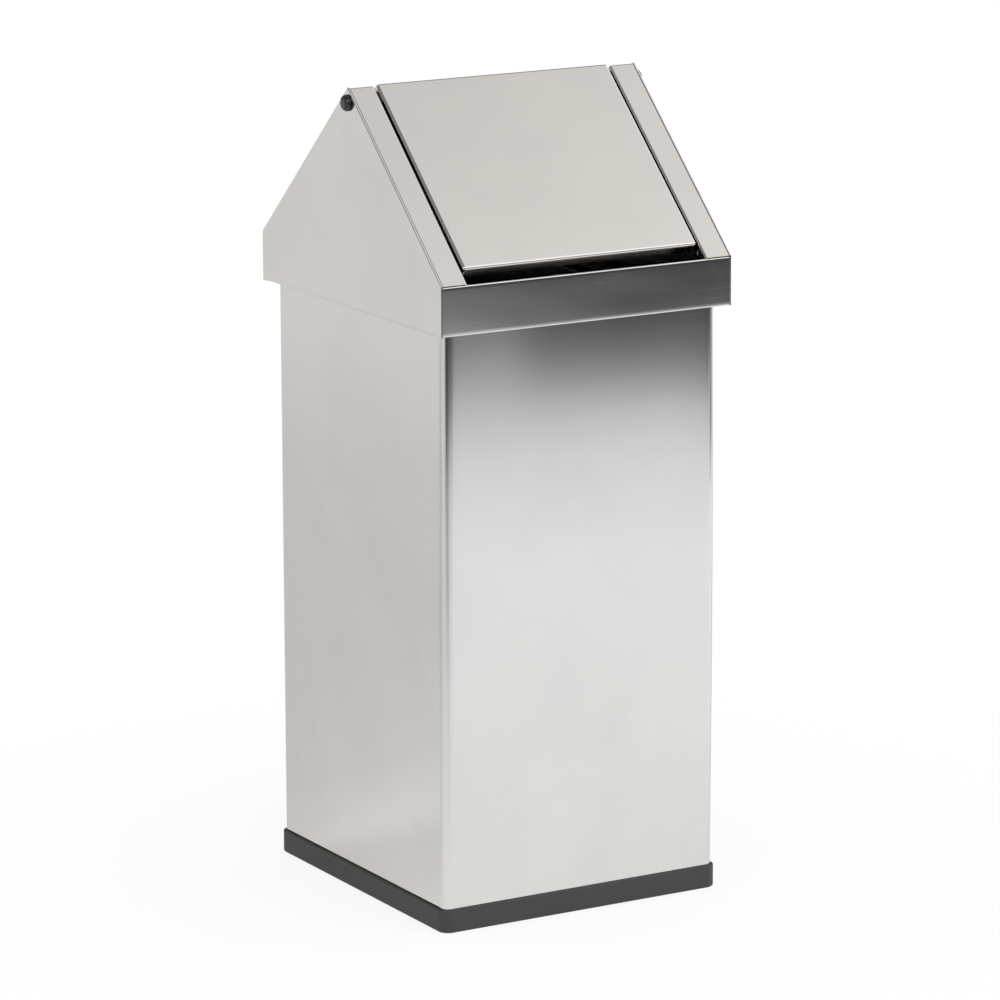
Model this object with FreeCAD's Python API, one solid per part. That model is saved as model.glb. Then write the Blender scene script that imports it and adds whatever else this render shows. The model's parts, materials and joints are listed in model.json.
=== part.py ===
# Swing-lid waste bin: a folded steel body on a moulded base ring, a lift-out liner, and a
# saddle-roof hood whose roof flap swings both ways on an axle under the ridge.
# Millimetres. Origin on the floor under the middle of the bin, +Z up, front towards -Y.
import FreeCAD, Part
import math
import os

# Driving sizes of the body
BODY_WIDTH = 294.0
BODY_DEPTH = 316.0
BODY_HEIGHT = 592.0
BODY_CORNER_RADIUS = 8.0
BODY_SHEET = 1.0
RIM_WIDTH = 9.0
RIM_BEND_RADIUS = 2.5
RIM_CORNER_RADIUS = 16.0
SEAM_WIDTH = 16.0
SEAM_END_GAP = 4.0
PAN_FLANGE = 15.0

# Base ring and its screws
BASE_HEIGHT = 22.0
BASE_WALL = 2.8
BASE_SEAT_HEIGHT = 11.0
BASE_RING_WIDTH = 35.0
BASE_RING_CORNER_RADIUS = 20.0
BASE_BOTTOM_RADIUS = 2.0
BASE_TOP_RADIUS = 1.0
SCREW_INSET = 24.0
SCREW_DIAMETER = 5.0
SCREW_LENGTH = 9.0
SCREW_HEAD_DIAMETER = 9.6
SCREW_HEAD_HEIGHT = 2.6
SCREW_SOCKET_WIDTH = 3.0
SCREW_SOCKET_DEPTH = 1.5

# Lift-out liner
LINER_GAP = 2.5
LINER_SHEET = 0.8
LINER_DROP = 32.0
LINER_HEM_HEIGHT = 11.0
LINER_FLOOR_LIFT = 1.0
LINER_FLOOR_FLANGE = 12.0
LINER_FLOOR_BEND = 2.0
LINER_SEAM_WIDTH = 22.0
LINER_RIM_ROUND_SHARE = 0.9
GRIP_LENGTH = 95.0
GRIP_HEIGHT = 28.0
GRIP_DROP = 22.0
RIVET_DIAMETER = 3.2
RIVET_HEAD_DIAMETER = 6.5
RIVET_HEAD_HEIGHT = 1.1
RIVET_ROUND_SHARE = 0.8
RIVET_BULB_DIAMETER = 4.4
RIVET_COUNT = 5
RIVET_END_DISTANCE = 45.0

# Hood: gables, fascias, roof strips and seat rails
HOOD_OVERLAP = 28.0
HOOD_SIDE_OVERHANG = 8.0
HOOD_FRONT_OVERHANG = 13.5
FASCIA_HEIGHT = 47.0
ROOF_RISE = 159.0
GABLE_SHEET = 1.0
HEM_WIDTH = 10.0
HEM_EDGE_RADIUS = 0.9
GABLE_LIP_DEPTH = 5.5
GABLE_LIP_RADIUS = 1.5
FASCIA_SHEET = 1.0
FASCIA_SETBACK = 0.3
FASCIA_TOP_DROP = 1.0
FASCIA_BEND_RADIUS = 1.2
FASCIA_BOTTOM_LIP = 11.0
FASCIA_TOP_LIP = 9.0
FASCIA_TOP_HEM = 6.0
FASCIA_TAB_DEPTH = 14.0
FASCIA_TAB_MARGIN = 4.0
STRIP_WIDTH = 26.0
STRIP_SHEET = 1.0
STRIP_DROP = 0.4
STRIP_FLANGE = 12.0
STRIP_EDGE_RADIUS = 0.8
STRIP_BEND_RADIUS = 1.2
STRIP_END_CLEARANCE = 1.0
RAIL_SHEET = 1.2
RAIL_LENGTH = 240.0
RAIL_UPSTAND = 14.0
RAIL_LIP = 10.0
RAIL_LIP_GAP = 0.8
RAIL_BEND_RADIUS = 1.0

# Axle, its end caps and clips
AXLE_DROP = 14.3
AXLE_DIAMETER = 8.0
AXLE_END_REACH = 3.0
AXLE_END_CHAMFER = 0.8
AXLE_HOLE_CLEARANCE = 0.15
AXLE_STRIP_CLEARANCE = 1.5
CAP_DIAMETER = 15.6
CAP_HEIGHT = 5.0
CAP_ROUND = 4.3
CAP_COLLAR = 0.6
CLIP_DIAMETER = 14.0
CLIP_THICKNESS = 0.6

# Swing flap, its pivot lugs and bushes
FLAP_SIDE_GAP = 2.4
FLAP_END_GAP = 16.5
FLAP_PROUD = 1.0
FLAP_SHEET = 1.0
FLAP_LIP = 12.0
FLAP_BEND_RADIUS = 2.0
FLAP_FLANGE = 10.0
FLAP_EDGE_RADIUS = 0.8
LUG_THICKNESS = 2.0
LUG_HALF_WIDTH = 22.0
LUG_BELOW_AXLE = 11.0
LUG_CORNER_RADIUS = 5.0
BUSH_WALL = 2.0
BUSH_FLANGE_DIAMETER = 16.0
BUSH_FLANGE_THICKNESS = 0.8
RUNNING_CLEARANCE = 0.05
CLIP_PLAY = 0.3

# Clearance between pieces that sit against each other, and how far cutting tools overrun
FIT_GAP = 0.2
CUT_OVERRUN = 1.0

# Closeness within which two computed places count as one
SAME_PLACE = 1e-6

# Sizes that follow from the driving ones
HOOD_HALF_WIDTH = BODY_WIDTH / 2 + HOOD_SIDE_OVERHANG
HOOD_HALF_DEPTH = BODY_DEPTH / 2 + HOOD_FRONT_OVERHANG
HOOD_BOTTOM = BODY_HEIGHT - HOOD_OVERLAP
EAVE_HEIGHT = HOOD_BOTTOM + FASCIA_HEIGHT
RIDGE_HEIGHT = EAVE_HEIGHT + ROOF_RISE
SLOPE = math.atan2(ROOF_RISE, HOOD_HALF_DEPTH)
SLANT = math.hypot(ROOF_RISE, HOOD_HALF_DEPTH)
AXLE_HEIGHT = RIDGE_HEIGHT - AXLE_DROP
AXLE_RADIUS = AXLE_DIAMETER / 2
GABLE_INNER = HOOD_HALF_WIDTH - GABLE_SHEET
HEM_INNER = GABLE_INNER - GABLE_SHEET
STRIP_OUTER = HEM_INNER - FIT_GAP
STRIP_INNER = STRIP_OUTER - STRIP_WIDTH
FLAP_HALF_WIDTH = STRIP_INNER - FLAP_SIDE_GAP
FASCIA_TOP = EAVE_HEIGHT - FASCIA_TOP_DROP
LINER_BOTTOM = BASE_SEAT_HEIGHT + BODY_SHEET + FIT_GAP
LINER_TOP = BODY_HEIGHT - LINER_DROP
LINER_WIDTH = BODY_WIDTH - 2 * (RIM_WIDTH + LINER_GAP)
LINER_DEPTH = BODY_DEPTH - 2 * (RIM_WIDTH + LINER_GAP)
LINER_RADIUS = RIM_CORNER_RADIUS - LINER_GAP

X_AXIS = FreeCAD.Vector(1, 0, 0)
Y_AXIS = FreeCAD.Vector(0, 1, 0)
Z_AXIS = FreeCAD.Vector(0, 0, 1)
ORIGIN = FreeCAD.Vector(0, 0, 0)


# Helpers
def same(first, second):
    return abs(first - second) < SAME_PLACE


def block(low, high):
    """Box between two corners."""
    size = [b - a for a, b in zip(low, high)]
    return Part.makeBox(*size, FreeCAD.Vector(*low))


def rounded_prism(width, depth, radius, bottom, top):
    """Upright prism with a rounded rectangle for its plan, centred on the Z axis."""
    half_x, half_y = width / 2, depth / 2
    diagonal = radius * (1 - math.cos(math.pi / 4))
    edges = []
    for turn in range(4):
        along, across = (half_x, half_y) if turn % 2 == 0 else (half_y, half_x)
        corner = [
            FreeCAD.Vector(along, across - radius, bottom),
            FreeCAD.Vector(along - diagonal, across - diagonal, bottom),
            FreeCAD.Vector(along - radius, across, bottom),
        ]
        side_end = FreeCAD.Vector(radius - along, across, bottom)
        pieces = [Part.Arc(*corner).toShape(), Part.LineSegment(corner[2], side_end).toShape()]
        for piece in pieces:
            piece.rotate(ORIGIN, Z_AXIS, 90 * turn)
        edges += pieces
    face = Part.Face(Part.Wire(edges))
    return face.extrude(Z_AXIS * (top - bottom))


def polygon_prism(points, start, reach):
    """Prism along X from a polygon of (y, z) points, from x = start over the length reach."""
    corners = [FreeCAD.Vector(start, y, z) for y, z in points]
    face = Part.Face(Part.makePolygon(corners + corners[:1]))
    return face.extrude(X_AXIS * reach)


def cylinder_x(radius, start, reach, height=AXLE_HEIGHT, depth=0.0):
    """Cylinder along X at the given height and depth."""
    return Part.makeCylinder(radius, reach, FreeCAD.Vector(start, depth, height), X_AXIS)


def folded_sheet(points, sheet, radius, place, reach):
    """Bent sheet: points trace one face, the metal lies to the left of the way along them, radius is
    the inside radius of every bend, place turns (u, v) into a point in space and reach extrudes it."""
    near, far = [], []
    points = [FreeCAD.Vector(u, v, 0) for u, v in points]
    direction = [(b - a).normalize() for a, b in zip(points, points[1:])]
    left = [FreeCAD.Vector(-d.y, d.x, 0) for d in direction]
    near_from = points[0]
    far_from = near_from + left[0] * sheet
    for i, vertex in enumerate(points[1:-1]):
        before, after = direction[i], direction[i + 1]
        turn = math.atan2(before.cross(after).z, before.dot(after))
        side = math.copysign(1, turn)
        line_radius = radius + sheet if turn > 0 else radius
        tangent = line_radius * math.tan(abs(turn) / 2)
        start, end = vertex - before * tangent, vertex + after * tangent
        centre = start + left[i] * (side * line_radius)
        middle = (vertex - centre).normalize()
        near.append(Part.LineSegment(near_from, start))
        near.append(Part.Arc(start, centre + middle * line_radius, end))
        far_start, far_end = start + left[i] * sheet, end + left[i + 1] * sheet
        far.append(Part.LineSegment(far_from, far_start))
        far.append(Part.Arc(far_start, centre + middle * (line_radius - side * sheet), far_end))
        near_from, far_from = end, far_end
    far_end = points[-1] + left[-1] * sheet
    near.append(Part.LineSegment(near_from, points[-1]))
    far.append(Part.LineSegment(far_from, far_end))
    caps = [
        Part.LineSegment(points[-1], far_end),
        Part.LineSegment(points[0] + left[0] * sheet, points[0]),
    ]
    loop = near + caps[:1] + far[::-1] + caps[1:]
    face = Part.Face(Part.Wire(Part.__sortEdges__([curve.toShape() for curve in loop])))
    face.transformShape(place)
    return face.extrude(reach)


def across_section(start):
    """Placement of a (y, z) section at x = start."""
    return FreeCAD.Matrix(0, 0, 1, start, 1, 0, 0, 0, 0, 1, 0, 0, 0, 0, 0, 1)


def along_section(start):
    """Placement of an (x, z) section at y = start."""
    return FreeCAD.Matrix(1, 0, 0, 0, 0, 0, 1, start, 0, 1, 0, 0, 0, 0, 0, 1)


def edges_near(shape, test):
    """Edges whose middle point passes the test."""
    found = []
    for edge in shape.Edges:
        middle = edge.valueAt((edge.FirstParameter + edge.LastParameter) / 2)
        if test(middle):
            found.append(edge)
    return found


def level_edges(shape, height):
    """Edges that lie at one height."""
    return edges_near(shape, lambda p: same(p.z, height))


def turned(shape):
    """Copy turned half round about the Z axis, for the opposite side of the bin."""
    copy = shape.copy()
    copy.rotate(ORIGIN, Z_AXIS, 180)
    return copy


def roof_point(along, out, side):
    """Point (y, z) on the roof: down the slope from the ridge, raised by out, side -1 front or 1 rear."""
    y = side * (along * math.cos(SLOPE) + out * math.sin(SLOPE))
    return y, RIDGE_HEIGHT + out * math.cos(SLOPE) - along * math.sin(SLOPE)


def ridge_point(out):
    """Point (y, z) where both slopes meet when raised by out."""
    return 0.0, RIDGE_HEIGHT + out / math.cos(SLOPE)


def roof_band(along, upper, lower, start, reach):
    """Side flange under the roof: a saddle-shaped plate between two offsets from the slopes."""
    outer = [roof_point(along, upper, 1), ridge_point(upper), roof_point(along, upper, -1)]
    inner = [roof_point(along, lower, -1), ridge_point(lower), roof_point(along, lower, 1)]
    return polygon_prism(outer + inner, start, reach)


# Body shell, bottom pan, base ring and screws
def make_body_shell():
    outer = rounded_prism(BODY_WIDTH, BODY_DEPTH, BODY_CORNER_RADIUS, BASE_SEAT_HEIGHT, BODY_HEIGHT)
    outer = outer.makeFillet(RIM_BEND_RADIUS, level_edges(outer, BODY_HEIGHT))
    ceiling = BODY_HEIGHT - BODY_SHEET
    inner = rounded_prism(
        BODY_WIDTH - 2 * BODY_SHEET,
        BODY_DEPTH - 2 * BODY_SHEET,
        BODY_CORNER_RADIUS - BODY_SHEET,
        BASE_SEAT_HEIGHT - CUT_OVERRUN,
        ceiling,
    )
    inner = inner.makeFillet(RIM_BEND_RADIUS - BODY_SHEET, level_edges(inner, ceiling))
    mouth = rounded_prism(
        BODY_WIDTH - 2 * RIM_WIDTH,
        BODY_DEPTH - 2 * RIM_WIDTH,
        RIM_CORNER_RADIUS,
        ceiling - CUT_OVERRUN,
        BODY_HEIGHT + CUT_OVERRUN,
    )
    lap = block(
        (-SEAM_WIDTH / 2, BODY_DEPTH / 2 - BODY_SHEET / 2, BASE_HEIGHT + SEAM_END_GAP),
        (SEAM_WIDTH / 2, BODY_DEPTH / 2 + BODY_SHEET, BODY_HEIGHT - RIM_BEND_RADIUS - SEAM_END_GAP),
    )
    return outer.cut(inner).cut(mouth).fuse(lap).removeSplitter()


def screw_places():
    """Middle of each base screw, near the corners of the body."""
    reach_x = BODY_WIDTH / 2 - SCREW_INSET
    reach_y = BODY_DEPTH / 2 - SCREW_INSET
    return [FreeCAD.Vector(x, y, 0) for x in (-reach_x, reach_x) for y in (-reach_y, reach_y)]


def screw_hole(place, bottom, top):
    radius = SCREW_DIAMETER / 2 + FIT_GAP
    return Part.makeCylinder(radius, top - bottom, place + Z_AXIS * bottom, Z_AXIS)


def make_bottom_pan():
    gap = BODY_SHEET + FIT_GAP
    floor_top = BASE_SEAT_HEIGHT + BODY_SHEET
    pan_top = floor_top + PAN_FLANGE
    pan = rounded_prism(
        BODY_WIDTH - 2 * gap, BODY_DEPTH - 2 * gap, BODY_CORNER_RADIUS - gap, BASE_SEAT_HEIGHT, pan_top
    )
    wall = gap + BODY_SHEET
    hollow = rounded_prism(
        BODY_WIDTH - 2 * wall,
        BODY_DEPTH - 2 * wall,
        BODY_CORNER_RADIUS - wall,
        floor_top,
        pan_top + CUT_OVERRUN,
    )
    pan = pan.cut(hollow)
    for place in screw_places():
        pan = pan.cut(screw_hole(place, BASE_SEAT_HEIGHT - CUT_OVERRUN, floor_top + CUT_OVERRUN))
    return pan


def make_base_ring():
    """Foot ring with a ledge that the body stands on and a skirt round the foot of the body."""
    reach = FIT_GAP + BASE_WALL
    width, depth = BODY_WIDTH + 2 * reach, BODY_DEPTH + 2 * reach
    ring = rounded_prism(width, depth, BODY_CORNER_RADIUS + reach, 0.0, BASE_HEIGHT)
    ring = ring.makeFillet(BASE_BOTTOM_RADIUS, level_edges(ring, 0.0))
    ring = ring.makeFillet(BASE_TOP_RADIUS, level_edges(ring, BASE_HEIGHT))
    seat = rounded_prism(
        BODY_WIDTH + 2 * FIT_GAP,
        BODY_DEPTH + 2 * FIT_GAP,
        BODY_CORNER_RADIUS + FIT_GAP,
        BASE_SEAT_HEIGHT,
        BASE_HEIGHT + CUT_OVERRUN,
    )
    window = rounded_prism(
        width - 2 * BASE_RING_WIDTH,
        depth - 2 * BASE_RING_WIDTH,
        BASE_RING_CORNER_RADIUS,
        -CUT_OVERRUN,
        BASE_HEIGHT,
    )
    ring = ring.cut(seat).cut(window)
    for place in screw_places():
        tip = BASE_SEAT_HEIGHT + BODY_SHEET - SCREW_LENGTH - FIT_GAP
        ring = ring.cut(screw_hole(place, tip, BASE_SEAT_HEIGHT + CUT_OVERRUN))
    return ring


def make_base_screws():
    seat = BASE_SEAT_HEIGHT + BODY_SHEET
    screws = []
    for place in screw_places():
        under_head = place + Z_AXIS * seat
        top = seat + SCREW_HEAD_HEIGHT
        head = Part.makeCylinder(SCREW_HEAD_DIAMETER / 2, SCREW_HEAD_HEIGHT, under_head, Z_AXIS)
        head = head.makeFillet(SCREW_HEAD_HEIGHT / 2, level_edges(head, top))
        half = SCREW_SOCKET_WIDTH / 2
        socket = block(
            (place.x - half, place.y - half, top - SCREW_SOCKET_DEPTH),
            (place.x + half, place.y + half, top + CUT_OVERRUN),
        )
        tip = place + Z_AXIS * (seat - SCREW_LENGTH)
        shank = Part.makeCylinder(SCREW_DIAMETER / 2, SCREW_LENGTH, tip, Z_AXIS)
        screws.append(head.fuse(shank).cut(socket).removeSplitter())
    return Part.makeCompound(screws)


# Liner with a hemmed rim, grip holes and a riveted seam
def rivet_heights():
    low, high = LINER_BOTTOM + RIVET_END_DISTANCE, LINER_TOP - RIVET_END_DISTANCE
    return [low + (high - low) * i / (RIVET_COUNT - 1) for i in range(RIVET_COUNT)]


def rivet_axis(height):
    """Where a rivet's shank starts, on the outside of the liner's rear wall."""
    return FreeCAD.Vector(0, LINER_DEPTH / 2, height)


def make_liner_shell():
    shell = rounded_prism(LINER_WIDTH, LINER_DEPTH, LINER_RADIUS, LINER_BOTTOM, LINER_TOP)
    hem = 2 * LINER_SHEET
    throat = rounded_prism(
        LINER_WIDTH - 2 * hem,
        LINER_DEPTH - 2 * hem,
        LINER_RADIUS - hem,
        LINER_BOTTOM - CUT_OVERRUN,
        LINER_TOP + CUT_OVERRUN,
    )
    inside = rounded_prism(
        LINER_WIDTH - 2 * LINER_SHEET,
        LINER_DEPTH - 2 * LINER_SHEET,
        LINER_RADIUS - LINER_SHEET,
        LINER_BOTTOM - CUT_OVERRUN,
        LINER_TOP - LINER_HEM_HEIGHT,
    )
    shell = shell.cut(throat).cut(inside)
    shell = shell.makeFillet(LINER_SHEET * LINER_RIM_ROUND_SHARE, level_edges(shell, LINER_TOP))
    lap_bottom = LINER_BOTTOM + LINER_FLOOR_LIFT + LINER_FLOOR_FLANGE + hem
    lap = block(
        (-LINER_SEAM_WIDTH / 2, LINER_DEPTH / 2 - hem, lap_bottom),
        (LINER_SEAM_WIDTH / 2, LINER_DEPTH / 2 - LINER_SHEET / 2, LINER_TOP - LINER_HEM_HEIGHT / 2),
    )
    shell = shell.fuse(lap)
    half_height = GRIP_HEIGHT / 2
    grip_height = LINER_TOP - GRIP_DROP - half_height
    half_straight = GRIP_LENGTH / 2 - half_height
    start, across = -LINER_WIDTH / 2 - CUT_OVERRUN, LINER_WIDTH + 2 * CUT_OVERRUN
    grip = block(
        (start, -half_straight, grip_height - half_height),
        (-start, half_straight, grip_height + half_height),
    )
    for end in (-half_straight, half_straight):
        grip = grip.fuse(cylinder_x(half_height, start, across, grip_height, end))
    shell = shell.cut(grip)
    for height in rivet_heights():
        radius = RIVET_DIAMETER / 2 + FIT_GAP / 2
        start = rivet_axis(height) - Y_AXIS * (hem + CUT_OVERRUN)
        shell = shell.cut(Part.makeCylinder(radius, hem + 2 * CUT_OVERRUN, start, Y_AXIS))
    return shell.removeSplitter()


def make_liner_floor():
    """Raised floor whose flange is turned down inside the foot of the shell."""
    gap = LINER_SHEET + FIT_GAP
    bottom = LINER_BOTTOM + LINER_FLOOR_LIFT
    top = bottom + LINER_FLOOR_FLANGE
    floor = rounded_prism(LINER_WIDTH - 2 * gap, LINER_DEPTH - 2 * gap, LINER_RADIUS - gap, bottom, top)
    floor = floor.makeFillet(LINER_FLOOR_BEND, level_edges(floor, top))
    wall = gap + LINER_SHEET
    ceiling = top - LINER_SHEET
    hollow = rounded_prism(
        LINER_WIDTH - 2 * wall, LINER_DEPTH - 2 * wall, LINER_RADIUS - wall, bottom - CUT_OVERRUN, ceiling
    )
    hollow = hollow.makeFillet(LINER_FLOOR_BEND - LINER_SHEET, level_edges(hollow, ceiling))
    return floor.cut(hollow)


def make_liner_rivets():
    rivets = []
    for height in rivet_heights():
        outside = rivet_axis(height)
        head = Part.makeCylinder(RIVET_HEAD_DIAMETER / 2, RIVET_HEAD_HEIGHT, outside, Y_AXIS)
        top = outside.y + RIVET_HEAD_HEIGHT
        rim = edges_near(head, lambda p: same(p.y, top))
        head = head.makeFillet(RIVET_HEAD_HEIGHT * RIVET_ROUND_SHARE, rim)
        grip = 2 * LINER_SHEET
        shank = Part.makeCylinder(RIVET_DIAMETER / 2, grip, outside - Y_AXIS * grip, Y_AXIS)
        inside_end = outside - Y_AXIS * (grip + RIVET_HEAD_HEIGHT)
        bulb = Part.makeCylinder(RIVET_BULB_DIAMETER / 2, RIVET_HEAD_HEIGHT, inside_end, Y_AXIS)
        rivets.append(head.fuse(shank).fuse(bulb).removeSplitter())
    return Part.makeCompound(rivets)


# Hood
def house_outline(inset):
    """The gable's five-sided outline as (y, z) points, drawn in by inset except along the bottom."""
    half = HOOD_HALF_DEPTH - inset
    ridge = RIDGE_HEIGHT - inset / math.cos(SLOPE)
    eave = ridge - half * math.tan(SLOPE)
    return [(-half, HOOD_BOTTOM), (half, HOOD_BOTTOM), (half, eave), (0.0, ridge), (-half, eave)]


def make_left_gable():
    outside = -HOOD_HALF_WIDTH
    gable = polygon_prism(house_outline(0.0), outside, 2 * GABLE_SHEET)
    field = house_outline(HEM_WIDTH)
    drop = HOOD_BOTTOM - CUT_OVERRUN
    field = [(y, drop if same(z, HOOD_BOTTOM) else z) for y, z in field]
    gable = gable.cut(polygon_prism(field, outside + GABLE_SHEET, GABLE_SHEET + CUT_OVERRUN))
    lip_half = HOOD_HALF_DEPTH - HEM_WIDTH - FIT_GAP
    lip = block(
        (outside, -lip_half, HOOD_BOTTOM),
        (outside + GABLE_LIP_DEPTH, lip_half, HOOD_BOTTOM + GABLE_SHEET),
    )
    gable = gable.fuse(lip).removeSplitter()
    inner_corner = edges_near(
        gable,
        lambda p: same(p.x, outside + GABLE_SHEET)
        and same(p.z, HOOD_BOTTOM + GABLE_SHEET),
    )
    gable = gable.makeFillet(GABLE_LIP_RADIUS, inner_corner)
    faces = (outside, outside + 2 * GABLE_SHEET)
    rounded = edges_near(
        gable,
        lambda p: any(same(p.x, x) for x in faces)
        and on_house_rim(p.y, p.z),
    )
    gable = gable.makeFillet(HEM_EDGE_RADIUS, rounded)
    radius = AXLE_RADIUS + AXLE_HOLE_CLEARANCE
    return gable.cut(cylinder_x(radius, outside - CUT_OVERRUN, 2 * (GABLE_SHEET + CUT_OVERRUN)))


def on_house_rim(y, z):
    """True on the gable's upright edges, slopes and bottom edge."""
    slope_height = RIDGE_HEIGHT - abs(y) * math.tan(SLOPE)
    upright = same(abs(y), HOOD_HALF_DEPTH)
    slope = same(z, slope_height)
    bottom = same(z, HOOD_BOTTOM)
    return upright or slope or bottom


def make_front_fascia():
    face = FASCIA_SETBACK - HOOD_HALF_DEPTH
    points = [
        (face + FASCIA_TOP_LIP, FASCIA_TOP - FASCIA_TOP_HEM),
        (face + FASCIA_TOP_LIP, FASCIA_TOP),
        (face, FASCIA_TOP),
        (face, HOOD_BOTTOM),
        (face + FASCIA_BOTTOM_LIP, HOOD_BOTTOM),
    ]
    section = across_section(-STRIP_OUTER)
    fascia = folded_sheet(points, FASCIA_SHEET, FASCIA_BEND_RADIUS, section, X_AXIS * (2 * STRIP_OUTER))
    low = HOOD_BOTTOM + FASCIA_TAB_MARGIN
    high = FASCIA_TOP - FASCIA_TAB_MARGIN
    for edge in (-STRIP_OUTER, STRIP_OUTER - FASCIA_SHEET):
        tab = block(
            (edge, face + FASCIA_SHEET / 2, low),
            (edge + FASCIA_SHEET, face + FASCIA_TAB_DEPTH, high),
        )
        fascia = fascia.fuse(tab)
    return fascia.removeSplitter()


def make_left_roof_strip():
    end_drop = FASCIA_TOP + FIT_GAP - EAVE_HEIGHT + (STRIP_DROP + STRIP_SHEET) * math.cos(SLOPE)
    along = SLANT - end_drop / math.sin(SLOPE)
    top = [
        roof_point(along, -STRIP_DROP, 1),
        ridge_point(-STRIP_DROP),
        roof_point(along, -STRIP_DROP, -1),
    ]
    section = across_section(-STRIP_OUTER)
    strip = folded_sheet(top, STRIP_SHEET, STRIP_BEND_RADIUS, section, X_AXIS * STRIP_WIDTH)
    web = -STRIP_DROP - STRIP_SHEET
    for start in (-STRIP_OUTER, -STRIP_INNER - STRIP_SHEET):
        strip = strip.fuse(roof_band(along, web, -STRIP_DROP - STRIP_FLANGE, start, STRIP_SHEET))
    fascia_reach = FASCIA_SETBACK + max(FASCIA_TOP_LIP, FASCIA_TAB_DEPTH)
    lip_end = HOOD_HALF_DEPTH - fascia_reach - STRIP_END_CLEARANCE
    for side in (-1, 1):
        near, far = sorted((side * lip_end, side * (HOOD_HALF_DEPTH + CUT_OVERRUN)))
        strip = strip.cut(
            block(
                (-HOOD_HALF_WIDTH, near, HOOD_BOTTOM),
                (0.0, far, FASCIA_TOP + FIT_GAP),
            )
        )
    strip = strip.removeSplitter()
    edges = (-STRIP_OUTER, -STRIP_INNER)
    rounded = edges_near(
        strip,
        lambda p: any(same(p.x, x) for x in edges) and on_strip_top(p.y, p.z),
    )
    strip = strip.makeFillet(STRIP_EDGE_RADIUS, rounded)
    hole = cylinder_x(AXLE_RADIUS + AXLE_STRIP_CLEARANCE, -HOOD_HALF_WIDTH, STRIP_WIDTH * 2)
    return strip.cut(hole)


def on_strip_top(y, z):
    """True on the strip's upper face, along the slopes and over the rounded ridge."""
    sheet_top = ridge_point(-STRIP_DROP)[1] - abs(y) * math.tan(SLOPE)
    if abs(y) > (STRIP_BEND_RADIUS + STRIP_SHEET) * math.sin(SLOPE) + SAME_PLACE:
        return same(z, sheet_top)
    return z > sheet_top - STRIP_SHEET / math.cos(SLOPE)


def make_left_seat_rail():
    wall = -(GABLE_INNER - FIT_GAP)
    lip = -(BODY_WIDTH / 2 - RIM_WIDTH - RAIL_LIP_GAP)
    seat = BODY_HEIGHT + FIT_GAP
    points = [(wall, seat + RAIL_UPSTAND), (wall, seat), (lip, seat), (lip, seat - RAIL_LIP)]
    section = along_section(-RAIL_LENGTH / 2)
    return folded_sheet(points, RAIL_SHEET, RAIL_BEND_RADIUS, section, Y_AXIS * RAIL_LENGTH)


# Axle, caps and clips
def make_axle_rod():
    half = HOOD_HALF_WIDTH + AXLE_END_REACH
    rod = cylinder_x(AXLE_RADIUS, -half, 2 * half)
    ends = edges_near(rod, lambda p: same(abs(p.x), half))
    return rod.makeChamfer(AXLE_END_CHAMFER, ends)


def make_left_axle_cap():
    seat = -HOOD_HALF_WIDTH - FIT_GAP
    cap = cylinder_x(CAP_DIAMETER / 2, seat - CAP_HEIGHT, CAP_HEIGHT)
    dome = edges_near(cap, lambda p: same(p.x, seat - CAP_HEIGHT))
    cap = cap.makeFillet(CAP_ROUND, dome)
    base = edges_near(cap, lambda p: same(p.x, seat))
    cap = cap.makeFillet(CAP_COLLAR, base)
    bore_depth = AXLE_END_REACH + FIT_GAP
    bore = cylinder_x(AXLE_RADIUS + RUNNING_CLEARANCE, -HOOD_HALF_WIDTH - bore_depth, bore_depth)
    return cap.cut(bore)


def bush_outside():
    """Outer face of the left flap bush's flange."""
    return -FLAP_HALF_WIDTH - FIT_GAP - BUSH_FLANGE_THICKNESS


def make_left_axle_clip():
    start = bush_outside() - CLIP_PLAY - CLIP_THICKNESS
    clip = cylinder_x(CLIP_DIAMETER / 2, start, CLIP_THICKNESS)
    bore = AXLE_RADIUS + RUNNING_CLEARANCE
    return clip.cut(cylinder_x(bore, start - CUT_OVERRUN, CLIP_THICKNESS + 2 * CUT_OVERRUN))


# Swing flap
def make_flap_panel():
    along = SLANT - FLAP_END_GAP
    tip = FLAP_PROUD - FLAP_LIP
    points = [
        roof_point(along, tip, 1),
        roof_point(along, FLAP_PROUD, 1),
        ridge_point(FLAP_PROUD),
        roof_point(along, FLAP_PROUD, -1),
        roof_point(along, tip, -1),
    ]
    section = across_section(-FLAP_HALF_WIDTH)
    panel = folded_sheet(points, FLAP_SHEET, FLAP_BEND_RADIUS, section, X_AXIS * (2 * FLAP_HALF_WIDTH))
    web = FLAP_PROUD - FLAP_SHEET
    flange_end = along - FLAP_BEND_RADIUS - FLAP_SHEET
    for start in (-FLAP_HALF_WIDTH, FLAP_HALF_WIDTH - FLAP_SHEET):
        panel = panel.fuse(roof_band(flange_end, web, FLAP_PROUD - FLAP_FLANGE, start, FLAP_SHEET))
    panel = panel.removeSplitter()
    rounded = edges_near(
        panel,
        lambda p: same(abs(p.x), FLAP_HALF_WIDTH) and on_flap_top(p.y, p.z),
    )
    panel = panel.makeFillet(FLAP_EDGE_RADIUS, rounded)
    radius = AXLE_RADIUS + BUSH_WALL + RUNNING_CLEARANCE
    return panel.cut(cylinder_x(radius, -HOOD_HALF_WIDTH, 2 * HOOD_HALF_WIDTH))


def on_flap_top(y, z):
    """True on the flat upper faces of the flap and over its rounded ridge."""
    sheet_top = ridge_point(FLAP_PROUD)[1] - abs(y) * math.tan(SLOPE)
    if abs(y) > (FLAP_BEND_RADIUS + FLAP_SHEET) * math.sin(SLOPE) + SAME_PLACE:
        return same(z, sheet_top)
    return z > sheet_top - FLAP_SHEET / math.cos(SLOPE)


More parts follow.
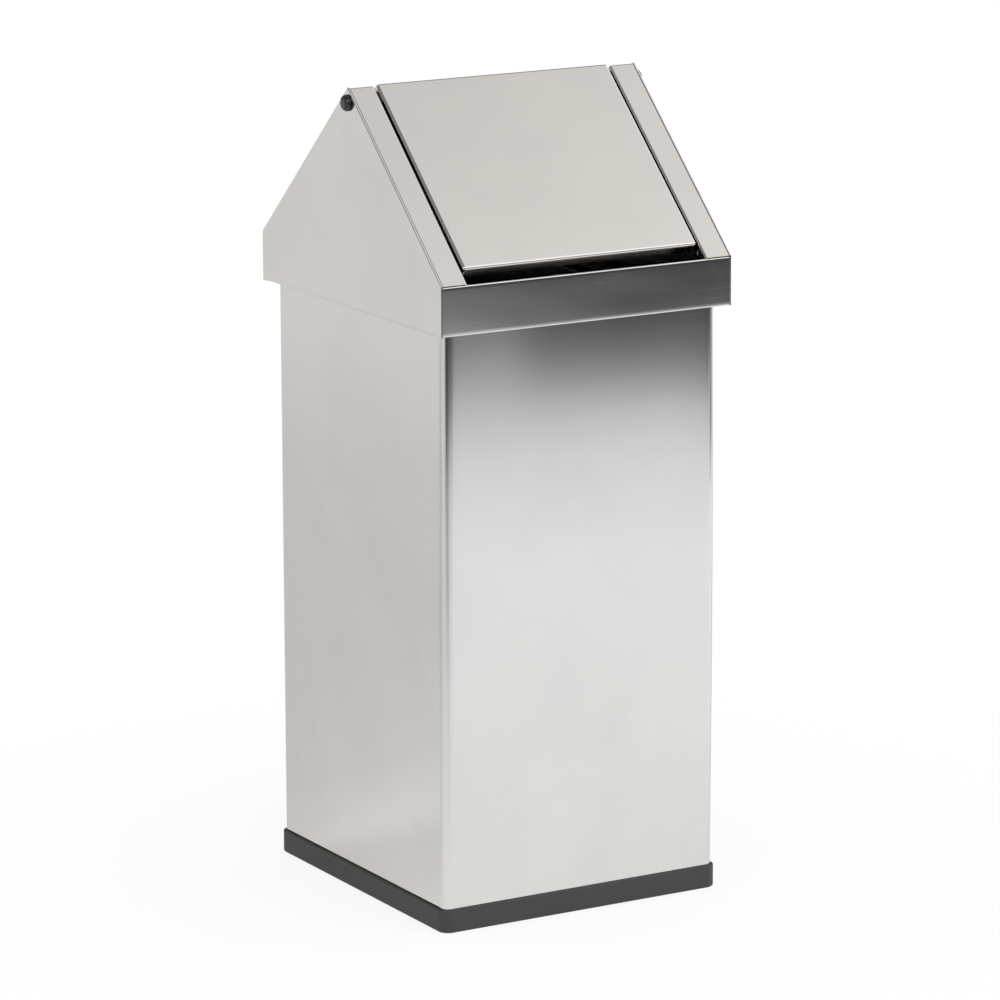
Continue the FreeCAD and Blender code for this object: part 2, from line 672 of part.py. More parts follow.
def make_left_pivot_lug():
    outside = -FLAP_HALF_WIDTH + FLAP_SHEET + FIT_GAP
    under = FLAP_PROUD - FLAP_SHEET - FIT_GAP
    peak = ridge_point(under)[1]
    shoulder = peak - LUG_HALF_WIDTH * math.tan(SLOPE)
    foot = min(shoulder, AXLE_HEIGHT) - LUG_BELOW_AXLE
    outline = [
        (-LUG_HALF_WIDTH, foot),
        (LUG_HALF_WIDTH, foot),
        (LUG_HALF_WIDTH, shoulder),
        (0.0, peak),
        (-LUG_HALF_WIDTH, shoulder),
    ]
    lug = polygon_prism(outline, outside, LUG_THICKNESS)
    feet = edges_near(
        lug,
        lambda p: same(p.z, foot)
        and same(abs(p.y), LUG_HALF_WIDTH),
    )
    lug = lug.makeFillet(LUG_CORNER_RADIUS, feet)
    radius = AXLE_RADIUS + BUSH_WALL + RUNNING_CLEARANCE
    return lug.cut(cylinder_x(radius, outside - CUT_OVERRUN, LUG_THICKNESS + 2 * CUT_OVERRUN))


def make_left_flap_bush():
    start = bush_outside()
    inner_end = -FLAP_HALF_WIDTH + FLAP_SHEET + FIT_GAP + LUG_THICKNESS
    sleeve = cylinder_x(AXLE_RADIUS + BUSH_WALL, start, inner_end - start)
    flange = cylinder_x(BUSH_FLANGE_DIAMETER / 2, start, BUSH_FLANGE_THICKNESS)
    length = inner_end - start + 2 * CUT_OVERRUN
    bore = cylinder_x(AXLE_RADIUS + RUNNING_CLEARANCE, start - CUT_OVERRUN, length)
    return sleeve.fuse(flange).cut(bore).removeSplitter()


def main():
    pieces = {
        "body_shell": make_body_shell(),
        "bottom_pan": make_bottom_pan(),
        "base_ring": make_base_ring(),
        "base_screws": make_base_screws(),
        "liner_shell": make_liner_shell(),
        "liner_floor": make_liner_floor(),
        "liner_rivets": make_liner_rivets(),
        "axle_rod": make_axle_rod(),
        "flap_panel": make_flap_panel(),
        "front_fascia": make_front_fascia(),
    }
    pieces["rear_fascia"] = turned(pieces["front_fascia"])
    handed = {
        "gable": make_left_gable,
        "roof_strip": make_left_roof_strip,
        "seat_rail": make_left_seat_rail,
        "axle_cap": make_left_axle_cap,
        "axle_clip": make_left_axle_clip,
        "pivot_lug": make_left_pivot_lug,
        "flap_bush": make_left_flap_bush,
    }
    for name, make in handed.items():
        left = make()
        pieces["left_" + name] = left
        pieces["right_" + name] = turned(left)
    os.makedirs("parts", exist_ok=True)
    for name, shape in pieces.items():
        shape.exportStep(os.path.join("parts", name + ".step"))
        solids = [solid.isValid() for solid in shape.Solids]
        print(f"{name}: {len(solids)} solids, valid {all(solids)}, volume {shape.Volume:.1f} mm3")


main()
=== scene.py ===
# %% [markdown]
# # A swing-lid waste bin in folded stainless steel
#
# The bin is a tall box of thin sheet on a dark foot ring. A small roof stands on it, and the middle of the roof is
# a flap that swings both ways on an axle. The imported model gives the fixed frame: sizes and places come from it, so
# each new piece is made where its own node already is.

# %% Load the frame
import json
import math

import bmesh
import bpy
from mathutils import Matrix, Vector


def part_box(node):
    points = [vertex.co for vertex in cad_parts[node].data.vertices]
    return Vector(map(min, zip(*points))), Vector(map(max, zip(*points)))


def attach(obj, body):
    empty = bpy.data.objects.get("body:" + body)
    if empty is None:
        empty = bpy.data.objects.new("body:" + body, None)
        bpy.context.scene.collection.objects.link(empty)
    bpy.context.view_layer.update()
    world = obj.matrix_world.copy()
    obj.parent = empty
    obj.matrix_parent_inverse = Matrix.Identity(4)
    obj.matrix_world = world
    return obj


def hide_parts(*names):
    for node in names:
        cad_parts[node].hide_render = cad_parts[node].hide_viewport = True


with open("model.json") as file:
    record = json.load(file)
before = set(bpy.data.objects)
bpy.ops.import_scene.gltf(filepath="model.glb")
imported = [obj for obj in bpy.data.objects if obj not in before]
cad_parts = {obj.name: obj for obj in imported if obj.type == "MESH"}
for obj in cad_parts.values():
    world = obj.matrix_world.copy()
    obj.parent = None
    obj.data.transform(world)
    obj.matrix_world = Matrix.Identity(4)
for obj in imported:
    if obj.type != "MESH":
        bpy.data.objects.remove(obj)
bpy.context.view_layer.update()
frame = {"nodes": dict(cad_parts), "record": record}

MM = 0.001

# %% [markdown]
# Folded sheet is modelled as a thin skin: flat faces, extruded flanges, a bevel where the press brake bends, and a
# Solidify modifier for the gauge of the metal. An operator works on everything that is selected, so a new piece
# starts with nothing selected, and corners, edges and faces are then picked by their place.


# %% Start a piece and pick parts of it
def nothing_selected():
    if bpy.context.object and bpy.context.object.mode != "OBJECT":
        bpy.ops.object.mode_set(mode="OBJECT")
    bpy.ops.object.select_all(action="DESELECT")


def started(name, size):
    """Sizes and names the primitive that was just added, puts its place into its mesh and opens it for editing."""
    piece = bpy.context.object
    piece.name = piece.data.name = name
    piece.scale = size
    bpy.ops.object.transform_apply(location=True, rotation=True, scale=True)
    bpy.ops.object.mode_set(mode="EDIT")
    return piece


def near(a, b, reach=0.02 * MM):
    return abs(a - b) < reach


def pick(piece, kind, test):
    """Selects each vertex, edge or face whose corners, given as a list, pass the test."""
    bpy.ops.mesh.select_mode(type=kind)
    bpy.ops.mesh.select_all(action="DESELECT")
    shape = bmesh.from_edit_mesh(piece.data)
    parts = {"VERT": shape.verts, "EDGE": shape.edges, "FACE": shape.faces}[kind]
    for part in parts:
        if test([part.co] if kind == "VERT" else [v.co for v in part.verts]):
            part.select_set(True)
    shape.select_flush_mode()
    bmesh.update_edit_mesh(piece.data)


# %% [markdown]
# A flange is an edge extruded by the depth of the flange. A bend is a bevel whose offset is the radius outside the
# bend. Cutting a flat face into a grid changes nothing by itself, but it gives the sheet the points it needs to
# swell by a fraction of a millimetre, as real sheet does.


# %% Flanges, bends and grids
def flange(move):
    bpy.ops.mesh.extrude_region_move(TRANSFORM_OT_translate={"value": move})


def bend(radius, steps=4):
    bpy.ops.mesh.bevel(offset=radius, segments=steps, profile=0.5, affect="EDGES", clamp_overlap=False)


def cut_at(places, normal):
    """Cuts the whole piece by a row of parallel planes."""
    for place in places:
        bpy.ops.mesh.select_all(action="SELECT")
        bpy.ops.mesh.bisect(plane_co=Vector(normal) * place, plane_no=normal)


def spread(low, high, count):
    """Places between low and high, the ends left out."""
    return [low + (high - low) * (i + 1) / (count + 1) for i in range(count)]


# %% [markdown]
# Modifiers finish a piece and are applied at once. Displace pushes the skin out by the weights of a vertex group,
# along its normals or along one axis, so a panel can swell in its middle and stay straight at its bends. Solidify
# grows the sheet inwards, because the outside is what was measured. Weighted normals keep big flat faces flat next
# to narrow bends.


# %% Modifiers
def modify(piece, kind, **settings):
    modifier = piece.modifiers.new(kind.lower(), kind)
    for key, value in settings.items():
        setattr(modifier, key, value)
    bpy.context.view_layer.objects.active = piece
    bpy.ops.object.modifier_apply(modifier=modifier.name)


def clipped(value):
    return max(0.0, min(1.0, value))


def ripples(waves, first, second):
    """A sum of slow sine waves, each given by its share, its rates along two axes and its start."""
    return sum(share * math.sin(first * one + second * two + start) for share, one, two, start in waves)


def swell(piece, height, weight, direction="NORMAL"):
    """Pushes the skin out by height times weight(point, normal), along its normals or along one axis."""
    bpy.ops.object.mode_set(mode="OBJECT")
    group = piece.vertex_groups.new(name="swell")
    for v in piece.data.vertices:
        group.add([v.index], clipped(weight(v.co, v.normal)), "REPLACE")
    modify(piece, "DISPLACE", strength=height, mid_level=0.0, direction=direction, vertex_group="swell")
    piece.vertex_groups.clear()


def thicken(piece, sheet):
    """Gives the skin its gauge, inwards from the measured outside."""
    if piece.mode != "OBJECT":
        bpy.ops.object.mode_set(mode="OBJECT")
    modify(piece, "SOLIDIFY", thickness=sheet, offset=-1.0, use_even_offset=True, use_quality_normals=True)


def drill(piece, radius, height):
    """Drills a round hole along X through everything at that height."""
    nothing_selected()
    bpy.ops.mesh.primitive_cylinder_add(
        vertices=48, radius=radius, depth=1.0, location=(0, 0, height), rotation=(0, math.pi / 2, 0)
    )
    tool = bpy.context.object
    modify(piece, "BOOLEAN", operation="DIFFERENCE", solver="EXACT", object=tool)
    bpy.data.objects.remove(tool)


# %% [markdown]
# A finished piece is shaded smooth over its bends and sharp at its cut edges. It rides on a body, and the CAD node
# that it stands for is hidden. Twins at the other side are half-turned copies with their own mesh.


# %% Finish a piece and copy it
SHARP_FROM = math.radians(32)


def select_only(piece):
    nothing_selected()
    piece.select_set(True)
    bpy.context.view_layer.objects.active = piece


def hand_over(piece, node, body):
    """Shades the piece, hides the node that it stands for and puts the piece on its body."""
    select_only(piece)
    bpy.ops.object.shade_smooth_by_angle(angle=SHARP_FROM)
    modify(piece, "WEIGHTED_NORMAL", mode="FACE_AREA", weight=50, keep_sharp=True)
    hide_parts(node)
    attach(piece, body)
    corners = [v.co for v in piece.data.vertices]
    size = [max(p[i] for p in corners) - min(p[i] for p in corners) for i in range(3)]
    print(piece.name, "faces", len(piece.data.polygons), "size mm", [round(s / MM, 1) for s in size])


def half_turned(piece, name):
    """A copy with its own mesh, turned half round the upright axis of the bin."""
    select_only(piece)
    bpy.ops.object.duplicate()
    twin = bpy.context.object
    twin.name = twin.data.name = name
    bpy.ops.transform.rotate(value=math.pi, orient_axis="Z", center_override=(0, 0, 0))
    bpy.ops.object.transform_apply(location=True, rotation=True, scale=True)
    return twin


# %% [markdown]
# ## The body
#
# The body is one sheet folded round four upright bends, lapped at the rear and turned in at the top as a rim. It
# starts as a cube of the node's size with its top and bottom taken out. The upright edges are bevelled to the bend
# radius, and the top edge is extruded and drawn inwards for the rim.

# %% Fold the body
low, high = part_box("body_shell")
high.y = -low.y  # the rear lap stands proud of the box that is folded here
BODY_BEND = 8 * MM
RIM_WIDTH = 9 * MM
RIM_BEND = 2.5 * MM
ROLL_CUTS = (1.2 * MM, 2.7 * MM, 5 * MM)
nothing_selected()
bpy.ops.mesh.primitive_cube_add(size=1, location=(low + high) / 2)
body_wrap = started("body_wrap", high - low)
pick(body_wrap, "FACE", lambda c: max(p.z for p in c) - min(p.z for p in c) < MM)
bpy.ops.mesh.delete(type="ONLY_FACE")
pick(body_wrap, "EDGE", lambda c: abs(c[0].z - c[1].z) > MM)
bend(BODY_BEND, 10)
pick(body_wrap, "EDGE", lambda c: all(near(p.z, high.z) for p in c))
flange((0, 0, 0))
bpy.ops.transform.resize(
    value=(1 - RIM_WIDTH / high.x, 1 - RIM_WIDTH / high.y, 1), center_override=(0, 0, high.z)
)


def on_the_outside(p):
    """Tells the outer edge of the rim from its inner edge, which lies a rim's width further in."""
    return max(abs(p.x) / high.x, abs(p.y) / high.y) > 1 - 0.6 * RIM_WIDTH / high.y


pick(body_wrap, "EDGE", lambda c: all(near(p.z, high.z) and on_the_outside(p) for p in c))
bend(RIM_BEND)
cut_at(spread(low.z, high.z, 35), (0, 0, 1))
cut_at(spread(low.x + BODY_BEND, high.x - BODY_BEND, 23), (1, 0, 0))
cut_at(spread(low.y + BODY_BEND, high.y - BODY_BEND, 15), (0, 1, 0))
for step in ROLL_CUTS:
    cut_at((low.x + BODY_BEND + step, high.x - BODY_BEND - step), (1, 0, 0))
print("body faces", len(bmesh.from_edit_mesh(body_wrap.data).faces))

# %% [markdown]
# A wide thin panel never stays dead flat. The rim holds its top and the base holds its foot, and between them the
# front swells by half a millimetre in its middle and by almost two at its right. At the upper left it flares out by
# most of a millimetre towards the rim, it is slightly dished to the right of the middle, and beside the left bend it
# rolls off over a few millimetres. Tilts as small as these bend the dark reflection below the hood into an arc.

# %% Swell the panels
PANEL_SWELL = 1.9 * MM
MIDDLE_SHARE = 0.26
LEFT_LEAN, RIGHT_LEAN, RIGHT_CURL = 0.26, 0.2, 0.5
EDGE_SHARE, EDGE_START = 0.12, 0.88
FLARE_SHARE = 0.42
FLARE_START = 0.46
FLARE_FROM, FLARE_REACH = 30 * MM, 70 * MM
DISH_SHARE, DISH_PLACE, DISH_WIDTH = 0.28, 50 * MM, 45 * MM
ROLL_SHARE = 0.18
ROLL_WIDTH = 5 * MM
FRONT_WAVES = ((0.004, 6.0, 78.0, 1.5),)
SIDE_SHARE = 0.12
FOOT = 30 * MM
FOOT_FADE = 60 * MM


def front_weight(p, rise):
    across = p.x / high.x
    lean = LEFT_LEAN * across if across < 0 else RIGHT_LEAN * across + RIGHT_CURL * across ** 4
    edge = clipped((across - EDGE_START) / (1 - EDGE_START)) ** 2
    left = clipped((-p.x - FLARE_FROM) / FLARE_REACH)
    dish = DISH_SHARE * math.exp(-(((p.x - DISH_PLACE) / DISH_WIDTH) ** 2))
    upper = clipped((p.z - FLARE_START) / (high.z - FLARE_START)) ** 2
    flare = (left * left * (3 - 2 * left) - dish) * upper
    roll = 1 - (1 - clipped((p.x - low.x - BODY_BEND) / ROLL_WIDTH)) ** 2
    upright = clipped((p.z - FOOT) / FOOT_FADE)
    crown = MIDDLE_SHARE + lean + EDGE_SHARE * edge + ripples(FRONT_WAVES, p.x, p.z)
    return rise * crown + FLARE_SHARE * flare + ROLL_SHARE * roll * upright


def panel_weight(p, normal):
    rise = math.sin(math.pi * clipped((p.z - FOOT) / (high.z - FOOT)))
    if normal.y < -0.1:
        return front_weight(p, rise) * normal.y ** 2
    if abs(normal.x) > 0.99:
        return SIDE_SHARE * rise * (1 - clipped(abs(p.y) / (high.y - BODY_BEND)) ** 2)
    return 0.0


swell(body_wrap, PANEL_SWELL, panel_weight)
print("swelled", body_wrap.name, "corners", len(body_wrap.data.vertices))

# %% [markdown]
# The two ends of the sheet meet at the rear, where one laps over the other. The lap is a flat strip with its long
# edges rounded, and it is joined to the body once the body has its gauge.

# %% Add the gauge and the rear lap
SHEET = 1 * MM
LAP_PLACE = (0, 158.5 * MM, 306 * MM)
LAP_SIZE = (16 * MM, 1 * MM, 560 * MM)
LAP_BEND = 0.6 * MM
thicken(body_wrap, SHEET)
nothing_selected()
bpy.ops.mesh.primitive_cube_add(size=1, location=LAP_PLACE)
rear_lap = started("rear_lap", LAP_SIZE)
pick(rear_lap, "EDGE", lambda c: abs(c[0].z - c[1].z) > MM and all(p.y > LAP_PLACE[1] for p in c))
bend(LAP_BEND, 3)
bpy.ops.object.mode_set(mode="OBJECT")
body_wrap.select_set(True)
bpy.context.view_layer.objects.active = body_wrap
bpy.ops.object.join()
hand_over(body_wrap, "body_shell", "body")

# %% [markdown]
# ## The gables
#
# Each end of the hood is a house-shaped sheet. Its uprights and slopes are hemmed, which means folded flat back on
# themselves, so the edge is two sheets thick, round and safe to touch. The bottom edge is turned in as a lip. An
# upright plane is the wall up to the eaves, and its top edge is extruded and merged into the ridge.

# %% Cut and hem the left gable
low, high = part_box("left_gable")
EAVE = 611 * MM
RIDGE = high.z
HALF_DEPTH = high.y
HOOD_FOOT = low.z
SLOPE = math.atan2(RIDGE - EAVE, HALF_DEPTH)
HEM, HEM_THICK, HEM_SHORT = 10 * MM, 2 * MM, 3 * MM
wall_middle = (low.x, 0, (HOOD_FOOT + EAVE) / 2)
nothing_selected()
bpy.ops.mesh.primitive_plane_add(size=1, location=wall_middle, rotation=(0, -math.pi / 2, 0))
gable_left = started("gable_left", (EAVE - HOOD_FOOT, 2 * HALF_DEPTH, 1))
pick(gable_left, "EDGE", lambda c: all(near(p.z, EAVE) for p in c))
flange((0, 0, RIDGE - EAVE))
bpy.ops.mesh.merge(type="CENTER")
cut_at((HEM - HALF_DEPTH, HALF_DEPTH - HEM), (0, 1, 0))


def on_the_rim(p):
    return near(abs(p.y), HALF_DEPTH) or near(p.z, RIDGE - abs(p.y) * math.tan(SLOPE))


pick(gable_left, "EDGE", lambda c: all(on_the_rim(p) for p in c) and not all(near(p.z, HOOD_FOOT) for p in c))
flange((HEM_THICK, 0, 0))
flange((0, 0, 0))
hem_middle = RIDGE - HALF_DEPTH / math.cos(SLOPE)
shrink = 1 - HEM / HALF_DEPTH
bpy.ops.transform.resize(value=(1, shrink, shrink), center_override=(low.x, 0, hem_middle))
pick(gable_left, "VERT", lambda c: c[0].z < HOOD_FOOT - 0.1 * MM)
bpy.ops.transform.translate(value=(0, 0, HEM_SHORT))
print("slope", round(math.degrees(SLOPE), 2), "hem drawn in about z", round(hem_middle, 4))

# %% [markdown]
# The lip along the bottom is only as long as the clear space between the hems. After the bends the sheet is cut
# into a grid and swells by a few tenths of a millimetre. The axle goes through one drilled hole in both layers.

# %% Lip, bends and hole of the gables
GABLE_LIP, LIP_BEND = 5.5 * MM, 2 * MM
HEM_BEND, HEM_INNER_BEND = 0.9 * MM, 0.3 * MM
GABLE_SWELL, SWELL_REACH = 0.35 * MM, 120 * MM
STILL_FOOT, FOOT_REACH = 6 * MM, 50 * MM
GABLE_SHEET = 0.95 * MM
AXLE, GABLE_HOLE = 755.7 * MM, 4.15 * MM


def along_the_foot(c):
    clear = HALF_DEPTH - HEM + 0.1 * MM
    return all(near(p.z, HOOD_FOOT) and near(p.x, low.x) and abs(p.y) < clear for p in c)


pick(gable_left, "EDGE", along_the_foot)
flange((GABLE_LIP, 0, 0))
for place, radius in ((low.x, HEM_BEND), (low.x + HEM_THICK, HEM_INNER_BEND)):
    pick(gable_left, "EDGE", lambda c: all(on_the_rim(p) and near(p.x, place) for p in c))
    bend(radius, 3)
pick(gable_left, "EDGE", along_the_foot)
bend(LIP_BEND, 4)
cut_at(spread(-HALF_DEPTH, HALF_DEPTH, 17), (0, 1, 0))
cut_at(spread(HOOD_FOOT, RIDGE, 11), (0, 0, 1))


def gable_weight(p, normal):
    from_slope = (RIDGE - p.z) * math.cos(SLOPE) - abs(p.y) * math.sin(SLOPE)
    from_foot = p.z - HOOD_FOOT - STILL_FOOT
    inside = clipped(from_slope / SWELL_REACH) ** 2 * clipped(from_foot / FOOT_REACH)
    return inside if normal.x < -0.9 else 0.0


swell(gable_left, GABLE_SWELL, gable_weight)
thicken(gable_left, GABLE_SHEET)
drill(gable_left, GABLE_HOLE, AXLE)
gable_right = half_turned(gable_left, "gable_right")
hand_over(gable_left, "left_gable", "hood")
hand_over(gable_right, "right_gable", "hood")

# %% [markdown]
# ## The fascias
#
# A fascia is the low upright band under the roof at the front, and its twin is at the rear. Its top edge is turned
# back as a narrow shelf with a hem hanging from it, its bottom edge is turned in, and a tab at each end is welded
# to the gable. The upright plane is made first and each flange is extruded from one of its edges.

# %% Fold the front fascia
low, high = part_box("front_fascia")
FASCIA_EDGE = 4 * MM
SHELF, SHELF_HEM = 9 * MM, 6 * MM
FOOT_TURN = 11 * MM
TAB, TAB_CLEAR = 14 * MM, 3 * MM
FASCIA_BEND = 1.3 * MM
band_middle = (0, low.y, (low.z + high.z) / 2)
nothing_selected()
bpy.ops.mesh.primitive_plane_add(size=1, location=band_middle, rotation=(math.pi / 2, 0, 0))
fascia_front = started("fascia_front", (high.x - low.x, high.z - low.z, 1))
cut_at((low.z + FASCIA_EDGE, high.z - FASCIA_EDGE), (0, 0, 1))
pick(fascia_front, "EDGE", lambda c: all(near(p.z, high.z) for p in c))
flange((0, SHELF, 0))
flange((0, 0, -SHELF_HEM))
pick(fascia_front, "EDGE", lambda c: all(near(p.z, low.z) for p in c))
flange((0, FOOT_TURN, 0))


def at_the_end(c, side):
    upright = all(near(p.x, side) and near(p.y, low.y) for p in c)
    return upright and all(low.z + TAB_CLEAR < p.z < high.z - TAB_CLEAR for p in c)


for side in (low.x, high.x):
    pick(fascia_front, "EDGE", lambda c: at_the_end(c, side))
    flange((0, TAB, 0))


def on_fascia_fold(c):
    level = all(near(p.z, c[0].z) for p in c) and abs(c[0].x - c[1].x) > MM
    top = level and near(c[0].z, high.z) and near(c[0].y, c[1].y)
    foot = level and near(c[0].z, low.z) and all(near(p.y, low.y) for p in c)
    return top or foot


pick(fascia_front, "EDGE", on_fascia_fold)
bend(FASCIA_BEND, 5)
print("fascia edges", len(bmesh.from_edit_mesh(fascia_front.data).edges))

# %% [markdown]
# The weld at the left end pulls the lower edge of the band in by three quarters of a millimetre, so that end faces
# down a little and mirrors nearer, paler floor than the other. A very slight wave makes the reflection uneven. The
# band is pushed straight back, along Y, so that its ends and folds keep their shape.

# %% Swell and copy the fascia
FASCIA_LEAN = 0.75 * MM
PATCH_SHARE = 0.09
PATCH_WAVES = ((0.3, 21.0, 0.0, 0.6), (0.2, 47.0, 60.0, 2.0))
cut_at(spread(low.x, high.x, 31), (1, 0, 0))
cut_at(spread(low.z + FASCIA_EDGE, high.z - FASCIA_EDGE, 5), (0, 0, 1))


def fascia_weight(p, normal):
    up = clipped((p.z - low.z) / (high.z - low.z))
    lean = (1 - up) * clipped(0.5 - p.x / (high.x - low.x)) ** 1.5
    patches = 0.5 + ripples(PATCH_WAVES, p.x, p.z)
    return lean + PATCH_SHARE * patches * math.sin(math.pi * up) ** 2


swell(fascia_front, FASCIA_LEAN, fascia_weight, "Y")
thicken(fascia_front, SHEET)
fascia_rear = half_turned(fascia_front, "fascia_rear")
hand_over(fascia_front, "front_fascia", "hood")
hand_over(fascia_rear, "rear_fascia", "hood")

# %% [markdown]
# ## The roof strips
#
# A narrow saddle of sheet closes the roof between each gable and the flap. A level plane is tilted by lowering its
# front edge, and the ridge edge is extruded down the other slope. Both long sides get a short lip along their whole
# length, and below it a deeper flange that stops short of the fascias. The lip and flange of a saddle are extruded
# straight down, so that they follow both slopes at once.


# %% Fold a saddle
def saddle(name, left, right, top, half):
    """A plane from the ridge to the front, lowered along its front edge and extruded over to the rear."""
    fall = half * math.tan(SLOPE)
    nothing_selected()
    bpy.ops.mesh.primitive_plane_add(size=1, location=((left + right) / 2, -half / 2, top))
    piece = started(name, (right - left, half, 1))
    pick(piece, "EDGE", lambda c: all(near(p.y, -half) for p in c))
    bpy.ops.transform.translate(value=(0, 0, -fall))
    pick(piece, "EDGE", lambda c: all(near(p.y, 0) for p in c))
    flange((0, half, -fall))
    return piece


low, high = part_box("left_roof_strip")
STRIP_DROP = 0.15 * MM
STRIP_TOP = RIDGE - STRIP_DROP / math.cos(SLOPE)
STRIP_HALF = high.y
STRIP_LIP, STRIP_FLANGE = 4 * MM, 8 * MM
FLANGE_HALF = 156.2 * MM
strip_left = saddle("strip_left", low.x, high.x, STRIP_TOP, STRIP_HALF)
cut_at((-FLANGE_HALF, FLANGE_HALF), (0, 1, 0))
pick(strip_left, "EDGE", lambda c: near(c[0].x, c[1].x))
flange((0, 0, -STRIP_LIP / math.cos(SLOPE)))


def on_the_lip(p):
    return p.z < STRIP_TOP - abs(p.y) * math.tan(SLOPE) - MM and abs(p.y) < FLANGE_HALF + 0.1 * MM


pick(strip_left, "EDGE", lambda c: near(c[0].x, c[1].x) and all(on_the_lip(p) for p in c))
flange((0, 0, -STRIP_FLANGE / math.cos(SLOPE)))
print("strip from x", round(low.x, 4), "to", round(high.x, 4), "half length", round(STRIP_HALF, 4))

# %% [markdown]
# The outer fold is tight, because it lies against the gable. The inner fold and the ridge are rounder and are
# bevelled together. Then the strip gets its gauge and a wide hole for the axle, and the right strip is the left one
# turned half round.


# %% Bends, gauge and hole of the strips
OUTER_BEND, INNER_BEND = 1 * MM, 2.4 * MM
STRIP_HOLE = 5.5 * MM


def on_saddle_fold(c, top, sides):
    on_top = all(near(p.z, top - abs(p.y) * math.tan(SLOPE)) for p in c)
    ridge = on_top and all(near(p.y, 0) for p in c)
    long_side = on_top and near(c[0].x, c[1].x) and any(near(c[0].x, s) for s in sides)
    return ridge or long_side


pick(strip_left, "EDGE", lambda c: on_saddle_fold(c, STRIP_TOP, (low.x,)) and not near(c[0].y, c[1].y))
bend(OUTER_BEND, 3)
pick(strip_left, "EDGE", lambda c: on_saddle_fold(c, STRIP_TOP, (high.x,)))
bend(INNER_BEND, 5)
cut_at(spread(-STRIP_HALF, STRIP_HALF, 18), (0, 1, 0))
thicken(strip_left, SHEET)
drill(strip_left, STRIP_HOLE, AXLE)
strip_right = half_turned(strip_left, "strip_right")
hand_over(strip_left, "left_roof_strip", "hood")
hand_over(strip_right, "right_roof_strip", "hood")

# %% [markdown]
# ## The flap
#
# The flap is one saddle-shaped sheet that covers both slopes and hangs on the axle under the ridge. It stands a
# millimetre above the strips. All four lower edges are turned in, so its rim is a closed, rounded fold: the ends
# are extruded square to the slopes and the sides straight down, and the corners are then merged.

# %% Fold the flap
low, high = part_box("flap_panel")
FLAP_STAND, FLAP_SHORT, FLAP_LIP = 1 * MM, 16.5 * MM, 12 * MM
FLAP_TOP = RIDGE + FLAP_STAND / math.cos(SLOPE)
FLAP_HALF = HALF_DEPTH - FLAP_SHORT * math.cos(SLOPE) + FLAP_STAND * math.sin(SLOPE)
flap_saddle = saddle("flap_saddle", low.x, high.x, FLAP_TOP, FLAP_HALF)
FLAP_FOOT = FLAP_TOP - FLAP_HALF * math.tan(SLOPE)
for side in (-1, 1):
    pick(flap_saddle, "EDGE", lambda c: all(near(p.y, side * FLAP_HALF) and near(p.z, FLAP_FOOT) for p in c))
    flange((0, -side * FLAP_LIP * math.sin(SLOPE), -FLAP_LIP * math.cos(SLOPE)))
pick(
    flap_saddle,
    "EDGE",
    lambda c: near(c[0].x, c[1].x) and all(near(p.z, FLAP_TOP - abs(p.y) * math.tan(SLOPE)) for p in c),
)
flange((0, 0, -FLAP_LIP / math.cos(SLOPE)))
slide = FLAP_LIP * math.tan(SLOPE)
for side in (-1, 1):
    pick(flap_saddle, "VERT", lambda c: near(c[0].y, side * FLAP_HALF) and c[0].z < FLAP_FOOT - MM)
    bpy.ops.transform.translate(value=(0, -side * slide * math.cos(SLOPE), slide * math.sin(SLOPE)))
bpy.ops.mesh.select_all(action="SELECT")
bpy.ops.mesh.remove_doubles(threshold=0.05 * MM)
print("flap corners", len(bmesh.from_edit_mesh(flap_saddle.data).verts), "foot at z", round(FLAP_FOOT, 4))

# %% [markdown]
# The ridge, the sides and the ends are bent to the same small radius. The wide leaves are the thinnest-looking part
# of the bin, and their long soft waves show in every reflection, so they get a grid and sink in by a few tenths of
# a millimetre, unevenly, by two slow sine waves.

# %% Bends, waves and gauge of the flap
FLAP_BEND = 2.85 * MM
FLAP_EDGE, STILL_EDGE = 4 * MM, 5 * MM
FLAP_DISH = -0.6 * MM
FLAP_WAVES = ((0.3, 23.0, 5.0, 0.0), (0.15, 9.0, 61.0, 1.0))
FLAP_HOLE = 6.1 * MM


def on_flap_fold(c):
    end = any(all(near(p.y, s * FLAP_HALF) and near(p.z, FLAP_FOOT) for p in c) for s in (-1, 1))
    corner = near(c[0].x, c[1].x) and any(near(p.z, FLAP_FOOT) and near(abs(p.y), FLAP_HALF) for p in c)
    return end or corner or on_saddle_fold(c, FLAP_TOP, (low.x, high.x))


pick(flap_saddle, "EDGE", on_flap_fold)
bend(FLAP_BEND, 5)
cut_at(spread(low.x + FLAP_EDGE, high.x - FLAP_EDGE, 23), (1, 0, 0))
cut_at(spread(-FLAP_HALF + FLAP_EDGE, -FLAP_EDGE, 17), (0, 1, 0))
cut_at(spread(FLAP_EDGE, FLAP_HALF - FLAP_EDGE, 17), (0, 1, 0))


def flap_weight(p, normal):
    if normal.z < 0.6:
        return 0.0
    across = max(0.0, 1 - (abs(p.x) / (high.x - STILL_EDGE)) ** 4)
    downwards = math.sin(math.pi * clipped(abs(p.y) / (FLAP_HALF - STILL_EDGE)))
    return across * downwards * (0.55 + ripples(FLAP_WAVES, p.x, p.y))


swell(flap_saddle, FLAP_DISH, flap_weight)
thicken(flap_saddle, SHEET)
drill(flap_saddle, FLAP_HOLE, AXLE)
hand_over(flap_saddle, "flap_panel", "flap")

# %% [markdown]
# ## Finishes
#
# Effects that several finishes share are node groups. The first is the rolled grain of sheet metal: noise drawn out
# in one direction. Each finish maps its own Object coordinates into the group, so the grain runs the right way on
# each piece.


